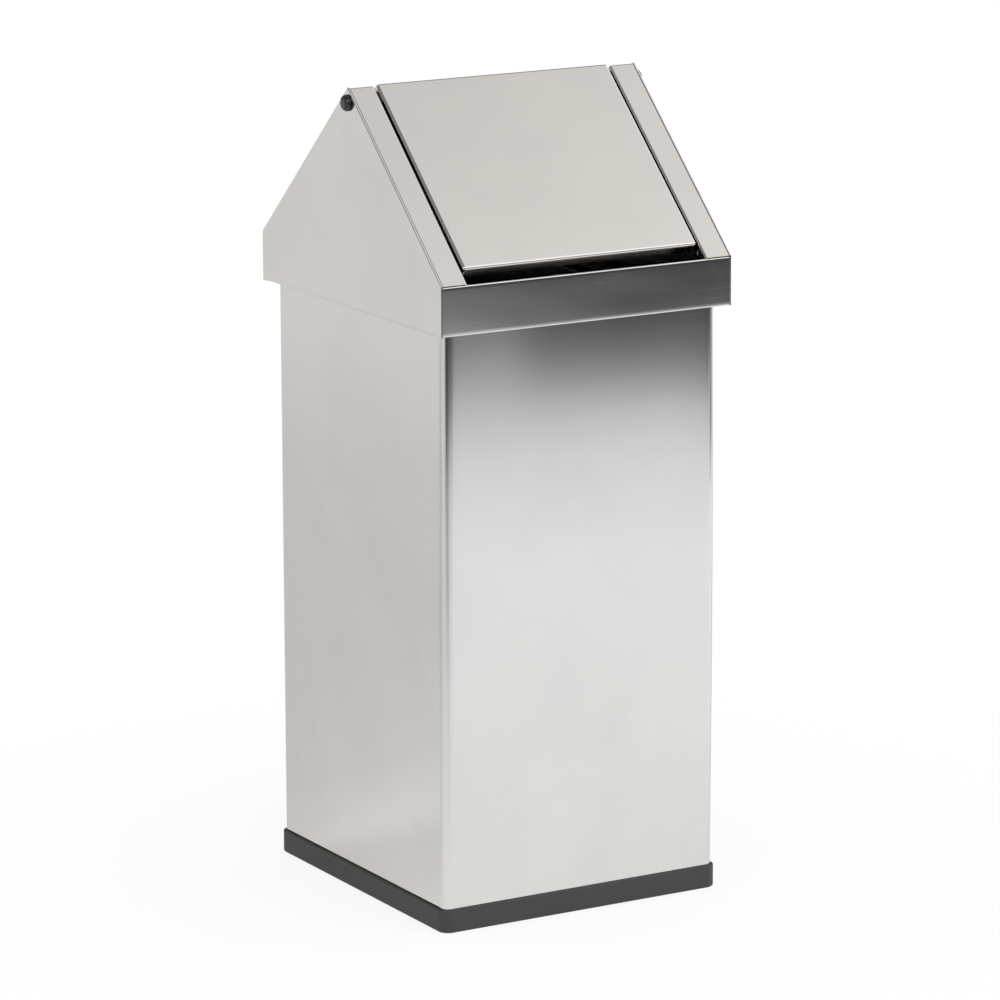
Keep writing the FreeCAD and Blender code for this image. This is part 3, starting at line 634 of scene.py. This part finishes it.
# %% Node helpers and the rolled grain
# sockets of the Mix node in its colour and vector modes
COLOUR_A, COLOUR_B, COLOUR_OUT = 6, 7, 2
VECTOR_A, VECTOR_B, VECTOR_OUT = 4, 5, 1
BROAD_SCALE = 0.12


def new_group(name, inputs, outputs):
    group = bpy.data.node_groups.new(name, "ShaderNodeTree")
    for label, kind, value in inputs:
        socket = group.interface.new_socket(label, in_out="INPUT", socket_type=kind)
        if value is not None:
            socket.default_value = value
    for label, kind in outputs:
        group.interface.new_socket(label, in_out="OUTPUT", socket_type=kind)
    return group, group.nodes.new("NodeGroupInput"), group.nodes.new("NodeGroupOutput")


def node(tree, kind, **settings):
    made = tree.nodes.new(kind)
    for key, value in settings.items():
        if key in made.inputs:
            made.inputs[key].default_value = value
        else:
            setattr(made, key, value)
    return made


def between(tree, value, low, high, to_low=0.0, to_high=1.0):
    """A Map Range node that takes low..high to to_low..to_high."""
    made = node(tree, "ShaderNodeMapRange", clamp=True)
    for label, number in zip(("From Min", "From Max", "To Min", "To Max"), (low, high, to_low, to_high)):
        made.inputs[label].default_value = number
    tree.links.new(value, made.inputs["Value"])
    return made.outputs["Result"]


def sums(tree, kind, first, second):
    """A Math node on two numbers or sockets."""
    made = node(tree, "ShaderNodeMath", operation=kind)
    for slot, value in zip(made.inputs, (first, second)):
        if isinstance(value, (int, float)):
            slot.default_value = value
        else:
            tree.links.new(value, slot)
    return made.outputs[0]


def times(tree, first, *others):
    for other in others:
        first = sums(tree, "MULTIPLY", first, other)
    return first


rolled_grain, group_in, group_out = new_group(
    "rolled_grain",
    [("Vector", "NodeSocketVector", None), ("Fineness", "NodeSocketFloat", 1.0)],
    [("Grain", "NodeSocketFloat"), ("Streaks", "NodeSocketFloat")],
)
fine = node(rolled_grain, "ShaderNodeTexNoise", Detail=3.0, Roughness=0.6)
broad = node(rolled_grain, "ShaderNodeTexNoise", Detail=2.0, Roughness=0.5)
rolled_grain.links.new(group_in.outputs["Vector"], fine.inputs["Vector"])
rolled_grain.links.new(group_in.outputs["Vector"], broad.inputs["Vector"])
rolled_grain.links.new(group_in.outputs["Fineness"], fine.inputs["Scale"])
rolled_grain.links.new(times(rolled_grain, group_in.outputs["Fineness"], BROAD_SCALE), broad.inputs["Scale"])
rolled_grain.links.new(between(rolled_grain, fine.outputs["Fac"], 0.3, 0.7), group_out.inputs["Grain"])
rolled_grain.links.new(between(rolled_grain, broad.outputs["Fac"], 0.35, 0.65), group_out.inputs["Streaks"])
print("group", rolled_grain.name, "nodes", len(rolled_grain.nodes))

# %% [markdown]
# Hands and cloths leave soft patches on steel where it is a little duller. That is one slow noise broken up by a
# quicker one. Fine scratches are very long thin noise, cut off so that only the peaks are left, in two directions.

# %% Handling marks and fine scratches
QUICK_SCALE = 5.0
# the turn of each layer, and how fast its noise changes along each axis
SCRATCH_LAYERS = (((0.35, 0.25, 0.5), (9, 600, 520)), ((-0.5, 0.4, -0.3), (7, 480, 650)))
handling_marks, group_in, group_out = new_group(
    "handling_marks",
    [("Vector", "NodeSocketVector", None), ("Size", "NodeSocketFloat", 9.0)],
    [("Marks", "NodeSocketFloat")],
)
slow = node(handling_marks, "ShaderNodeTexNoise", Detail=3.0, Roughness=0.55, Distortion=0.4)
quick = node(handling_marks, "ShaderNodeTexNoise", Detail=4.0, Roughness=0.65)
handling_marks.links.new(group_in.outputs["Vector"], slow.inputs["Vector"])
handling_marks.links.new(group_in.outputs["Vector"], quick.inputs["Vector"])
handling_marks.links.new(group_in.outputs["Size"], slow.inputs["Scale"])
handling_marks.links.new(times(handling_marks, group_in.outputs["Size"], QUICK_SCALE), quick.inputs["Scale"])
patches = times(
    handling_marks,
    between(handling_marks, slow.outputs["Fac"], 0.42, 0.68),
    between(handling_marks, quick.outputs["Fac"], 0.3, 0.6, 0.55, 1.0),
)
handling_marks.links.new(patches, group_out.inputs["Marks"])

fine_scratches, group_in, group_out = new_group(
    "fine_scratches",
    [
        ("Vector", "NodeSocketVector", None),
        ("Turn", "NodeSocketVector", (0, 0, 0)),
        ("Amount", "NodeSocketFloat", 0.5),
    ],
    [("Scratches", "NodeSocketFloat")],
)
turned = node(fine_scratches, "ShaderNodeMapping")
fine_scratches.links.new(group_in.outputs["Vector"], turned.inputs["Vector"])
fine_scratches.links.new(group_in.outputs["Turn"], turned.inputs["Rotation"])
layers = []
for turn, stretch in SCRATCH_LAYERS:
    tilted = node(fine_scratches, "ShaderNodeMapping")
    tilted.inputs["Rotation"].default_value = turn
    tilted.inputs["Scale"].default_value = stretch
    fine_scratches.links.new(turned.outputs["Vector"], tilted.inputs["Vector"])
    lines = node(fine_scratches, "ShaderNodeTexNoise", Scale=1.0, Detail=1.0, Roughness=0.4)
    fine_scratches.links.new(tilted.outputs["Vector"], lines.inputs["Vector"])
    layers.append(between(fine_scratches, lines.outputs["Fac"], 0.69, 0.74))
either = sums(fine_scratches, "MAXIMUM", *layers)
shown = times(fine_scratches, either, group_in.outputs["Amount"])
fine_scratches.links.new(shown, group_out.inputs["Scratches"])
print("groups", handling_marks.name, fine_scratches.name)

# %% [markdown]
# ## Stainless steel
#
# The sheet is satin stainless: a pale warm grey that mirrors its surroundings softly. Colour and gloss stay almost
# even. The grain moves the roughness a little, the marks dull it in patches, and a very small bump from the grain
# keeps the reflections from looking like glass. The body and the fascias are the glossiest, the gables less so, and
# the roof is the dullest. The fascias have been handled most.


# %% Stainless finishes
SATIN = (0.640, 0.622, 0.600)
BRIGHT = (0.645, 0.616, 0.590)
DULLED = (0.93, 0.93, 0.935)
STREAK_ROUGH, MARK_ROUGH, SCRATCH_ROUGH = 0.004, 0.02, 0.14
SCRATCH_DEPTH = 2.0
QUARTER_TURN = 1.57


def placed(tree, group, **values):
    """Puts a node group into a material, with its own values."""
    made = tree.nodes.new("ShaderNodeGroup")
    made.node_tree = group
    for key, value in values.items():
        made.inputs[key].default_value = value
    return made


def new_finish(name):
    """A material with its node tree, its shader and its Object coordinates."""
    material = bpy.data.materials.new(name)
    material.use_nodes = True
    tree = material.node_tree
    return material, tree, tree.nodes["Principled BSDF"], tree.nodes.new("ShaderNodeTexCoord").outputs["Object"]


def steel(name, colour, stretch, roughness, grain_depth, marks, scratches, turn=(0, 0, 0), size=9.0):
    material, tree, shader, coords = new_finish(name)
    mapping = node(tree, "ShaderNodeMapping")
    mapping.inputs["Scale"].default_value = stretch
    tree.links.new(coords, mapping.inputs["Vector"])
    grain = placed(tree, rolled_grain)
    tree.links.new(mapping.outputs["Vector"], grain.inputs["Vector"])
    hands = placed(tree, handling_marks, Size=size)
    tree.links.new(coords, hands.inputs["Vector"])
    lines = placed(tree, fine_scratches, Amount=scratches, Turn=turn)
    tree.links.new(coords, lines.inputs["Vector"])
    shade = node(tree, "ShaderNodeMix", data_type="RGBA", blend_type="MULTIPLY")
    shade.inputs[COLOUR_A].default_value = (*colour, 1)
    shade.inputs[COLOUR_B].default_value = (*DULLED, 1)
    tree.links.new(times(tree, hands.outputs["Marks"], marks), shade.inputs["Factor"])
    tree.links.new(shade.outputs[COLOUR_OUT], shader.inputs["Base Color"])
    rough = between(tree, grain.outputs["Streaks"], 0, 1, roughness - STREAK_ROUGH, roughness + STREAK_ROUGH)
    rough = sums(tree, "ADD", rough, times(tree, hands.outputs["Marks"], MARK_ROUGH * marks))
    rough = sums(tree, "ADD", rough, times(tree, lines.outputs["Scratches"], SCRATCH_ROUGH))
    tree.links.new(rough, shader.inputs["Roughness"])
    shader.inputs["Metallic"].default_value = 1.0
    bump = node(tree, "ShaderNodeBump", Strength=1.0, Distance=grain_depth)
    scored = times(tree, lines.outputs["Scratches"], SCRATCH_DEPTH)
    height = sums(tree, "SUBTRACT", grain.outputs["Grain"], scored)
    tree.links.new(height, bump.inputs["Height"])
    tree.links.new(bump.outputs["Normal"], shader.inputs["Normal"])
    return material


SIDEWAYS = (QUARTER_TURN, 0, QUARTER_TURN)
ACROSS, LENGTHWISE = 900, 14
body_steel = steel(
    "body_steel", SATIN, (ACROSS, ACROSS, LENGTHWISE),
    roughness=0.05, grain_depth=0.06e-6, marks=0.6, scratches=0.15,
)
gable_steel = steel(
    "gable_steel", SATIN, (ACROSS, LENGTHWISE, ACROSS),
    roughness=0.10, grain_depth=0.12e-6, marks=0.6, scratches=0.15, turn=SIDEWAYS,
)
roof_steel = steel(
    "roof_steel", BRIGHT, (LENGTHWISE, ACROSS, ACROSS),
    roughness=0.15, grain_depth=0.3e-6, marks=0.5, scratches=0.2,
)
fascia_steel = steel(
    "fascia_steel", SATIN, (LENGTHWISE, ACROSS, ACROSS),
    roughness=0.05, grain_depth=0.06e-6, marks=2.0, scratches=0.25, size=22.0,
)
for piece, finish in (
    (body_wrap, body_steel),
    (gable_left, gable_steel),
    (gable_right, gable_steel),
    (fascia_front, fascia_steel),
    (fascia_rear, fascia_steel),
    (strip_left, roof_steel),
    (strip_right, roof_steel),
    (flap_saddle, roof_steel),
):
    piece.data.materials.clear()
    piece.data.materials.append(finish)
print("steel finishes", body_steel.name, gable_steel.name, roof_steel.name, fascia_steel.name)

# %% [markdown]
# ## Zinc
#
# The liner is galvanised: zinc that froze in flat crystals, each a slightly different grey, which a Voronoi texture
# gives. A little noise bends the crystals' borders. Fasteners are bright zinc, with crystals too fine to see.


# %% Zinc finishes
BORDER_SCALE, BORDER_BEND = 1.4, 0.012
ZINC_SPREAD, ZINC_MARKS, ZINC_MARK_SIZE = 0.07, 0.08, 12.0


def zinc(name, colour, crystal, contrast, roughness):
    material, tree, shader, coords = new_finish(name)
    cells = node(tree, "ShaderNodeTexVoronoi", Scale=crystal, Randomness=1.0)
    warp = node(tree, "ShaderNodeTexNoise", Scale=crystal * BORDER_SCALE, Detail=3.0)
    tree.links.new(coords, warp.inputs["Vector"])
    bent = node(tree, "ShaderNodeMix", data_type="VECTOR", Factor=BORDER_BEND)
    tree.links.new(coords, bent.inputs[VECTOR_A])
    tree.links.new(warp.outputs["Color"], bent.inputs[VECTOR_B])
    tree.links.new(bent.outputs[VECTOR_OUT], cells.inputs["Vector"])
    tone = node(tree, "ShaderNodeSeparateColor")
    tree.links.new(cells.outputs["Color"], tone.inputs["Color"])
    hands = placed(tree, handling_marks, Size=ZINC_MARK_SIZE)
    tree.links.new(coords, hands.inputs["Vector"])
    shade = node(tree, "ShaderNodeMix", data_type="RGBA")
    shade.inputs[COLOUR_A].default_value = (*[c * (1 - contrast) for c in colour], 1)
    shade.inputs[COLOUR_B].default_value = (*[min(1.0, c * (1 + contrast)) for c in colour], 1)
    tree.links.new(tone.outputs[0], shade.inputs["Factor"])
    tree.links.new(shade.outputs[COLOUR_OUT], shader.inputs["Base Color"])
    rough = between(tree, tone.outputs[1], 0, 1, roughness - ZINC_SPREAD, roughness + ZINC_SPREAD)
    rough = sums(tree, "ADD", rough, times(tree, hands.outputs["Marks"], ZINC_MARKS))
    tree.links.new(rough, shader.inputs["Roughness"])
    shader.inputs["Metallic"].default_value = 1.0
    return material


liner_zinc = zinc("liner_zinc", (0.55, 0.57, 0.58), crystal=70.0, contrast=0.12, roughness=0.38)
fastener_zinc = zinc("fastener_zinc", (0.60, 0.60, 0.61), crystal=400.0, contrast=0.05, roughness=0.26)
print("zinc finishes", liner_zinc.name, fastener_zinc.name)

# %% [markdown]
# ## Plastics
#
# The foot ring is matt moulded plastic with a fine spark texture, the axle caps are a glossier plastic, and the
# bushes are black nylon. All three are one noise as bump and gloss, with paler patches where they are handled. Then
# every node of the frame gets the finish of its slot.


# %% Plastic finishes
PALER_SHARE, PALER_LIFT = 1.35, 0.004
PLASTIC_SPREAD, PLASTIC_MARKS, PLASTIC_MARK_SIZE = 0.05, 0.06, 14.0


def plastic(name, colour, roughness, texture, depth, marks):
    material, tree, shader, coords = new_finish(name)
    grain = node(tree, "ShaderNodeTexNoise", Scale=texture, Detail=3.0, Roughness=0.6)
    tree.links.new(coords, grain.inputs["Vector"])
    hands = placed(tree, handling_marks, Size=PLASTIC_MARK_SIZE)
    tree.links.new(coords, hands.inputs["Vector"])
    shade = node(tree, "ShaderNodeMix", data_type="RGBA")
    shade.inputs[COLOUR_A].default_value = (*colour, 1)
    shade.inputs[COLOUR_B].default_value = (*[min(1.0, c * PALER_SHARE + PALER_LIFT) for c in colour], 1)
    tree.links.new(times(tree, hands.outputs["Marks"], marks), shade.inputs["Factor"])
    tree.links.new(shade.outputs[COLOUR_OUT], shader.inputs["Base Color"])
    smoothest, roughest = roughness - PLASTIC_SPREAD, roughness + PLASTIC_SPREAD
    rough = between(tree, grain.outputs["Fac"], 0.3, 0.7, smoothest, roughest)
    rough = sums(tree, "ADD", rough, times(tree, hands.outputs["Marks"], PLASTIC_MARKS))
    tree.links.new(rough, shader.inputs["Roughness"])
    bump = node(tree, "ShaderNodeBump", Strength=1.0, Distance=depth)
    tree.links.new(grain.outputs["Fac"], bump.inputs["Height"])
    tree.links.new(bump.outputs["Normal"], shader.inputs["Normal"])
    return material


RING_BLACK, CAP_BLACK, BUSH_BLACK = (0.034, 0.034, 0.032), (0.012, 0.012, 0.012), (0.03, 0.03, 0.03)
ring_plastic = plastic("ring_plastic", RING_BLACK, roughness=0.58, texture=1800.0, depth=20e-6, marks=0.5)
cap_plastic = plastic("cap_plastic", CAP_BLACK, roughness=0.16, texture=900.0, depth=1e-6, marks=0.3)
bush_nylon = plastic("bush_nylon", BUSH_BLACK, roughness=0.42, texture=1200.0, depth=6e-6, marks=0.3)
FINISH_OF_SLOT = {
    "stainless": body_steel,
    "galvanised": liner_zinc,
    "zinc_fastener": fastener_zinc,
    "base_plastic": ring_plastic,
    "cap_plastic": cap_plastic,
    "nylon": bush_nylon,
}
for part in frame["record"]["subparts"]:
    mesh = frame["nodes"][part["node"]].data
    mesh.materials.clear()
    mesh.materials.append(FINISH_OF_SLOT[part["material_slot"]])

# %% [markdown]
# ## The studio
#
# The bin stands on a white floor that runs out of the picture. Steel shows its surroundings more than its own
# colour, so the set matters as much as the finish: for reflections the floor glows, painted bright round the bin and
# dark further out, as if it ended in a dark room in front of it, and this painted light is what grades the front of
# the bin from pale at its foot to dark under the hood. The camera sees plain white, with the faint shadow that the
# bin leaves on the floor.

# %% Floor
FORWARDS = (-0.1045, -0.9945, 0.0)
# metres ahead of the bin, painted brightness of the glow, and how much bluer than grey
FLOOR_STOPS = [
    (-12.0, 1.24, 0.0),
    (-2.5, 1.19, 0.0),
    (-1.45, 1.11, 0.0),
    (-1.0, 1.02, 0.0),
    (-0.6, 0.96, 0.0),
    (-0.3, 0.97, 0.0),
    (0.0, 1.0, 0.0),
    (0.26, 1.25, 0.03),
    (0.75, 1.20, 0.03),
    (1.29, 1.15, 0.03),
    (1.43, 1.11, 0.03),
    (1.60, 1.06, 0.03),
    (1.80, 0.97, 0.03),
    (1.92, 0.87, 0.03),
    (2.03, 0.74, 0.03),
    (2.15, 0.54, 0.03),
    (2.27, 0.35, 0.03),
    (2.34, 0.265, 0.03),
    (2.48, 0.18, 0.03),
    (2.61, 0.11, 0.03),
    (2.80, 0.08, 0.03),
    (4.0, 0.06, 0.03),
]
FIRST, LAST = FLOOR_STOPS[0][0], FLOOR_STOPS[-1][0]
FLOOR_SIDE = 30
nothing_selected()
bpy.ops.mesh.primitive_plane_add(size=1)
floor = started("floor", (FLOOR_SIDE, FLOOR_SIDE, 1))
nothing_selected()
material, tree, shader, coords = new_finish("studio_floor")
tree.nodes.remove(shader)
ramp = tree.nodes.new("ShaderNodeValToRGB")
for index, (distance, level, blue) in enumerate(FLOOR_STOPS):
    stop = ramp.color_ramp.elements[index] if index < 2 else ramp.color_ramp.elements.new(1.0)
    stop.position = (distance - FIRST) / (LAST - FIRST)
    stop.color = (level * (1 - blue), level, level * (1 + blue), 1)
print("floor", [round(s, 1) for s in floor.dimensions], "stops", len(ramp.color_ramp.elements))

# %% [markdown]
# A ramp alone would give every panel the same reflection. The glow of the floor that the steel mirrors is painted
# dimmer at the left, and its dark end lies further out there. Painted shade darkens it beyond the right end and in a
# wedge ahead of the front left corner. Each of these is a product of a few soft steps, by place on the floor.


# %% Painted dimmer places of the floor
def along(tree, line, direction):
    """How far a point lies in a direction: their dot product."""
    made = node(tree, "ShaderNodeVectorMath", operation="DOT_PRODUCT")
    tree.links.new(line, made.inputs[0])
    made.inputs[1].default_value = direction
    return made.outputs["Value"]


CORNER_X, CORNER_Y = -0.147, -0.158
RIGHT_END = (1.0, 0.648, 0.0)
spot = node(tree, "ShaderNodeSeparateXYZ")
tree.links.new(coords, spot.inputs[0])
x, y = spot.outputs["X"], spot.outputs["Y"]
reach = node(tree, "ShaderNodeVectorMath", operation="LENGTH")
tree.links.new(coords, reach.inputs[0])
away = reach.outputs["Value"]
further_out = between(tree, x, -0.8, -2.8, 0.0, 1.08)
distance = sums(tree, "SUBTRACT", along(tree, coords, FORWARDS), further_out)
tree.links.new(between(tree, distance, FIRST, LAST), ramp.inputs["Fac"])
# painted shade: the glow is dimmer at the left and a little brighter at the right
painted_side_dimming = times(tree, between(tree, x, -1.0, -0.2, 0.78, 1.0), between(tree, x, 0.1, 0.8, 0.99, 1.03))
# painted shade on the glow beyond the right end
painted_right_shade = times(
    tree,
    between(tree, along(tree, coords, RIGHT_END), 0.1, 0.5),
    between(tree, away, 1.9, 2.4, 0.0, 0.6),
    between(tree, y, -0.3, -0.9),
)
ahead = sums(tree, "MINIMUM", sums(tree, "SUBTRACT", y, CORNER_Y), -0.05)
bearing = sums(tree, "DIVIDE", sums(tree, "SUBTRACT", x, CORNER_X), ahead)
# painted shade on the glow in a wedge ahead of the front left corner
wedge = times(
    tree,
    between(tree, bearing, -0.45, 0.0),
    between(tree, bearing, 0.75, 0.3),
    between(tree, y, -0.3, -1.5, 0.0, 0.36),
    between(tree, y, -2.6, -1.8),
)
print("floor nodes so far", len(tree.nodes))

# %% [markdown]
# The left panel mirrors a soft shadow that is painted into the glow behind the bin. Along the edge of the painted
# shadow runs a painted highlight, a pale line, which widens and fades as it leaves the bin. All these places are
# then multiplied into one level for the glow.

# %% Painted shadow on the floor and its painted pale edge
SHADOW_SIDE = (0.877, 0.48, 0.0)
PALE_LINE, PALE_PLACE = (0.397, 0.917, 0.0), 0.079
# painted shadow: the glow is darkened behind the bin, where the bin's shadow would lie
shadow = times(
    tree,
    between(tree, along(tree, coords, SHADOW_SIDE), -0.23, -0.03),
    between(tree, y, -0.05, 0.1),
    between(tree, away, 1.0, 3.0, 0.15, 0.0),
)
# painted highlight: a pale line in the glow along the edge of the painted shadow
off_line = sums(tree, "ABSOLUTE", sums(tree, "SUBTRACT", along(tree, coords, PALE_LINE), PALE_PLACE), 0.0)
off_line = sums(tree, "DIVIDE", off_line, between(tree, away, 0.25, 0.4, 0.03, 0.08))
painted_pale_line = times(
    tree,
    between(tree, off_line, 0.0, 1.6, 0.15, 0.0),
    between(tree, away, 0.4, 0.9, 1.0, 0.2),
    between(tree, x, -0.1, -0.16),
)
right_clear, ahead_clear, outside_painted_shadow = (sums(tree, "SUBTRACT", 1.0, dark) for dark in (painted_right_shade, wedge, shadow))
dimmed = times(tree, painted_side_dimming, right_clear, ahead_clear, sums(tree, "ADD", outside_painted_shadow, painted_pale_line))
print("floor nodes", len(tree.nodes))

# %% [markdown]
# The floor is a mix of plain diffuse paint and a glow. For the camera it is nearly all glow, so it comes out white,
# and the share of paint close to the bin keeps the bin's shadow. For glossy rays the glow is the graded floor, with a
# larger share of paint close to the bin. For all other rays it is paint alone.

# %% Floor shader
FLOOR_PAINT = (0.93, 0.93, 0.93, 1)
WHITE = (1, 1, 1, 1)
rays = tree.nodes.new("ShaderNodeLightPath")
colour = node(tree, "ShaderNodeMix", data_type="RGBA")
colour.inputs[COLOUR_A].default_value = WHITE
tree.links.new(rays.outputs["Is Glossy Ray"], colour.inputs["Factor"])
tree.links.new(ramp.outputs["Color"], colour.inputs[COLOUR_B])
strength = node(tree, "ShaderNodeMix", data_type="FLOAT", A=1.0)
tree.links.new(rays.outputs["Is Glossy Ray"], strength.inputs["Factor"])
tree.links.new(dimmed, strength.inputs["B"])
bounce = node(tree, "ShaderNodeBsdfDiffuse", Color=FLOOR_PAINT)
glow = node(tree, "ShaderNodeEmission")
tree.links.new(colour.outputs[COLOUR_OUT], glow.inputs["Color"])
tree.links.new(strength.outputs["Result"], glow.inputs["Strength"])
looked_at = sums(tree, "MAXIMUM", rays.outputs["Is Camera Ray"], rays.outputs["Is Transmission Ray"])
looked_at = times(tree, looked_at, between(tree, away, 0.2, 0.8, 0.85, 1.0))
reflected = times(tree, rays.outputs["Is Glossy Ray"], between(tree, away, 0.2, 1.6, 0.68, 1.0))
mixed = node(tree, "ShaderNodeMixShader")
tree.links.new(sums(tree, "ADD", looked_at, reflected), mixed.inputs[0])
tree.links.new(bounce.outputs[0], mixed.inputs[1])
tree.links.new(glow.outputs[0], mixed.inputs[2])
tree.links.new(mixed.outputs[0], tree.nodes["Material Output"].inputs["Surface"])
floor.data.materials.append(material)
print("floor material", material.name)

# %% [markdown]
# The world is the rest of the room. The camera would see it as white. Glossy rays see a bright ceiling, brighter
# lamps at the right and at the front, and one small lamp above the camera and to its left, which puts a dot of light
# on the axle cap. Dark parts of the room, low in front, at the left and behind, draw the thin dark lines along the
# bends. Diffuse rays get an even, plain level. One very soft light from above the front gives the shadow round the
# foot and behind the bin.

# %% World and light
DARKEST, LAMP_LEVEL, SMALL_LAMP_LEVEL, PLAIN_LEVEL = 0.08, 1.5, 12.0, 0.75
SMALL_LAMP = (-0.66, -0.51, 0.552)
SUN_TILT, SUN_TURN, SUN_WIDTH = (math.radians(a) for a in (37, 14, 80))
world = bpy.data.worlds.new("studio")
bpy.context.scene.world = world
world.use_nodes = True
tree = world.node_tree
rays = tree.nodes.new("ShaderNodeLightPath")
heading = tree.nodes.new("ShaderNodeTexCoord").outputs["Generated"]
split = node(tree, "ShaderNodeSeparateXYZ")
tree.links.new(heading, split.inputs[0])
x, y, z = (split.outputs[axis] for axis in "XYZ")
in_front = times(tree, between(tree, y, -0.15, -0.6), between(tree, z, 0.2, 0.02))
at_left = times(tree, between(tree, x, 0.2, -0.2), between(tree, x, -0.75, -0.45, 0.3, 0.8))
high_left = times(tree, between(tree, x, -0.4, -0.6), between(tree, z, 0.25, 0.45, 0.0, 0.8))
middle = times(tree, between(tree, x, 0.0, 0.3), between(tree, x, 0.8, 0.6))
dark = times(tree, between(tree, y, 0.1, 0.45), middle, 0.75)
for other in (at_left, high_left, in_front):
    dark = sums(tree, "MAXIMUM", dark, other)
lamps = sums(tree, "MAXIMUM", between(tree, x, 0.6, 0.85), between(tree, y, -0.3, -0.6))
room = times(tree, between(tree, dark, 0, 1, 1.0, DARKEST), between(tree, lamps, 0, 1, 1.0, LAMP_LEVEL))
small_lamp = between(tree, along(tree, heading, SMALL_LAMP), 0.985, 0.995, 0.0, SMALL_LAMP_LEVEL)
looked_at = sums(tree, "MAXIMUM", rays.outputs["Is Camera Ray"], rays.outputs["Is Transmission Ray"])
glossy = node(tree, "ShaderNodeMix", data_type="FLOAT")
tree.links.new(rays.outputs["Is Glossy Ray"], glossy.inputs["Factor"])
tree.links.new(between(tree, looked_at, 0, 1, PLAIN_LEVEL, 1.0), glossy.inputs["A"])
tree.links.new(sums(tree, "ADD", room, small_lamp), glossy.inputs["B"])
tree.links.new(glossy.outputs["Result"], tree.nodes["Background"].inputs["Strength"])
tree.nodes["Background"].inputs["Color"].default_value = WHITE
nothing_selected()
bpy.ops.object.light_add(type="SUN", location=(0.5, -2, 3), rotation=(SUN_TILT, 0, SUN_TURN))
overhead = bpy.context.object
overhead.data.energy = 1.0
overhead.data.angle = SUN_WIDTH
overhead.visible_glossy = False
print("world and light", overhead.data.energy)

# %% [markdown]
# A diffusing cloth hangs over the front right of the set and glows as a lamp. The roof mirrors it, and because it
# is near, each spot of the roof mirrors another spot of the cloth: its glow is painted paler towards the front right,
# and so the roof grows paler there too. Only glossy rays see it, so it throws no shadow and hides nothing from above.

# %% Overhead cloth
CLOTH_PLACE, CLOTH_SIZE = (1.1, -0.75, 2.2), (1.5, 1.7, 1)
PALER = (0.19, -0.37, 0.0)
nothing_selected()
bpy.ops.mesh.primitive_plane_add(size=1, location=CLOTH_PLACE)
cloth = started("overhead_cloth", CLOTH_SIZE)
nothing_selected()
cloth.visible_camera = cloth.visible_diffuse = cloth.visible_transmission = cloth.visible_shadow = False
material, tree, shader, coords = new_finish("studio_cloth")
tree.nodes.remove(shader)
glow = node(tree, "ShaderNodeEmission", Color=WHITE)
paler = between(tree, along(tree, coords, PALER), -0.1, 0.9, 0.61, 1.61)
tree.links.new(paler, glow.inputs["Strength"])
tree.links.new(glow.outputs[0], tree.nodes["Material Output"].inputs["Surface"])
cloth.data.materials.append(material)
print("cloth at z", CLOTH_PLACE[2])

# %% [markdown]
# ## The camera
#
# The camera stands where the photograph's vanishing points put it: to the front left, a little above the lid, with
# a long lens. The matrix is written from its three axes, so that the small roll of the picture is kept too.

# %% Camera
AZIMUTH, ELEVATION, ROLL = (math.radians(a) for a in (-30.275, 12.857, -0.193))
CAMERA_PLACE = (-2.4745, -4.2488, 1.4857)
FOCAL_LENGTH, SENSOR = 191.38, 36
flat = math.cos(ELEVATION)
back = Vector((math.sin(AZIMUTH) * flat, -math.cos(AZIMUTH) * flat, math.sin(ELEVATION)))
right = Vector((0, 0, 1)).cross(back).normalized()
up = back.cross(right)
across = math.cos(ROLL) * right + math.sin(ROLL) * up
upwards = math.cos(ROLL) * up - math.sin(ROLL) * right
place = Matrix((across, upwards, back)).transposed().to_4x4()
place.translation = CAMERA_PLACE
lens = bpy.data.cameras.new("camera")
lens.lens = FOCAL_LENGTH
lens.sensor_width = SENSOR
camera = bpy.data.objects.new("camera", lens)
bpy.context.scene.collection.objects.link(camera)
camera.matrix_world = place
bpy.context.scene.camera = camera
bpy.context.scene.view_settings.view_transform = "Standard"
print("camera", [round(v, 3) for v in camera.location])
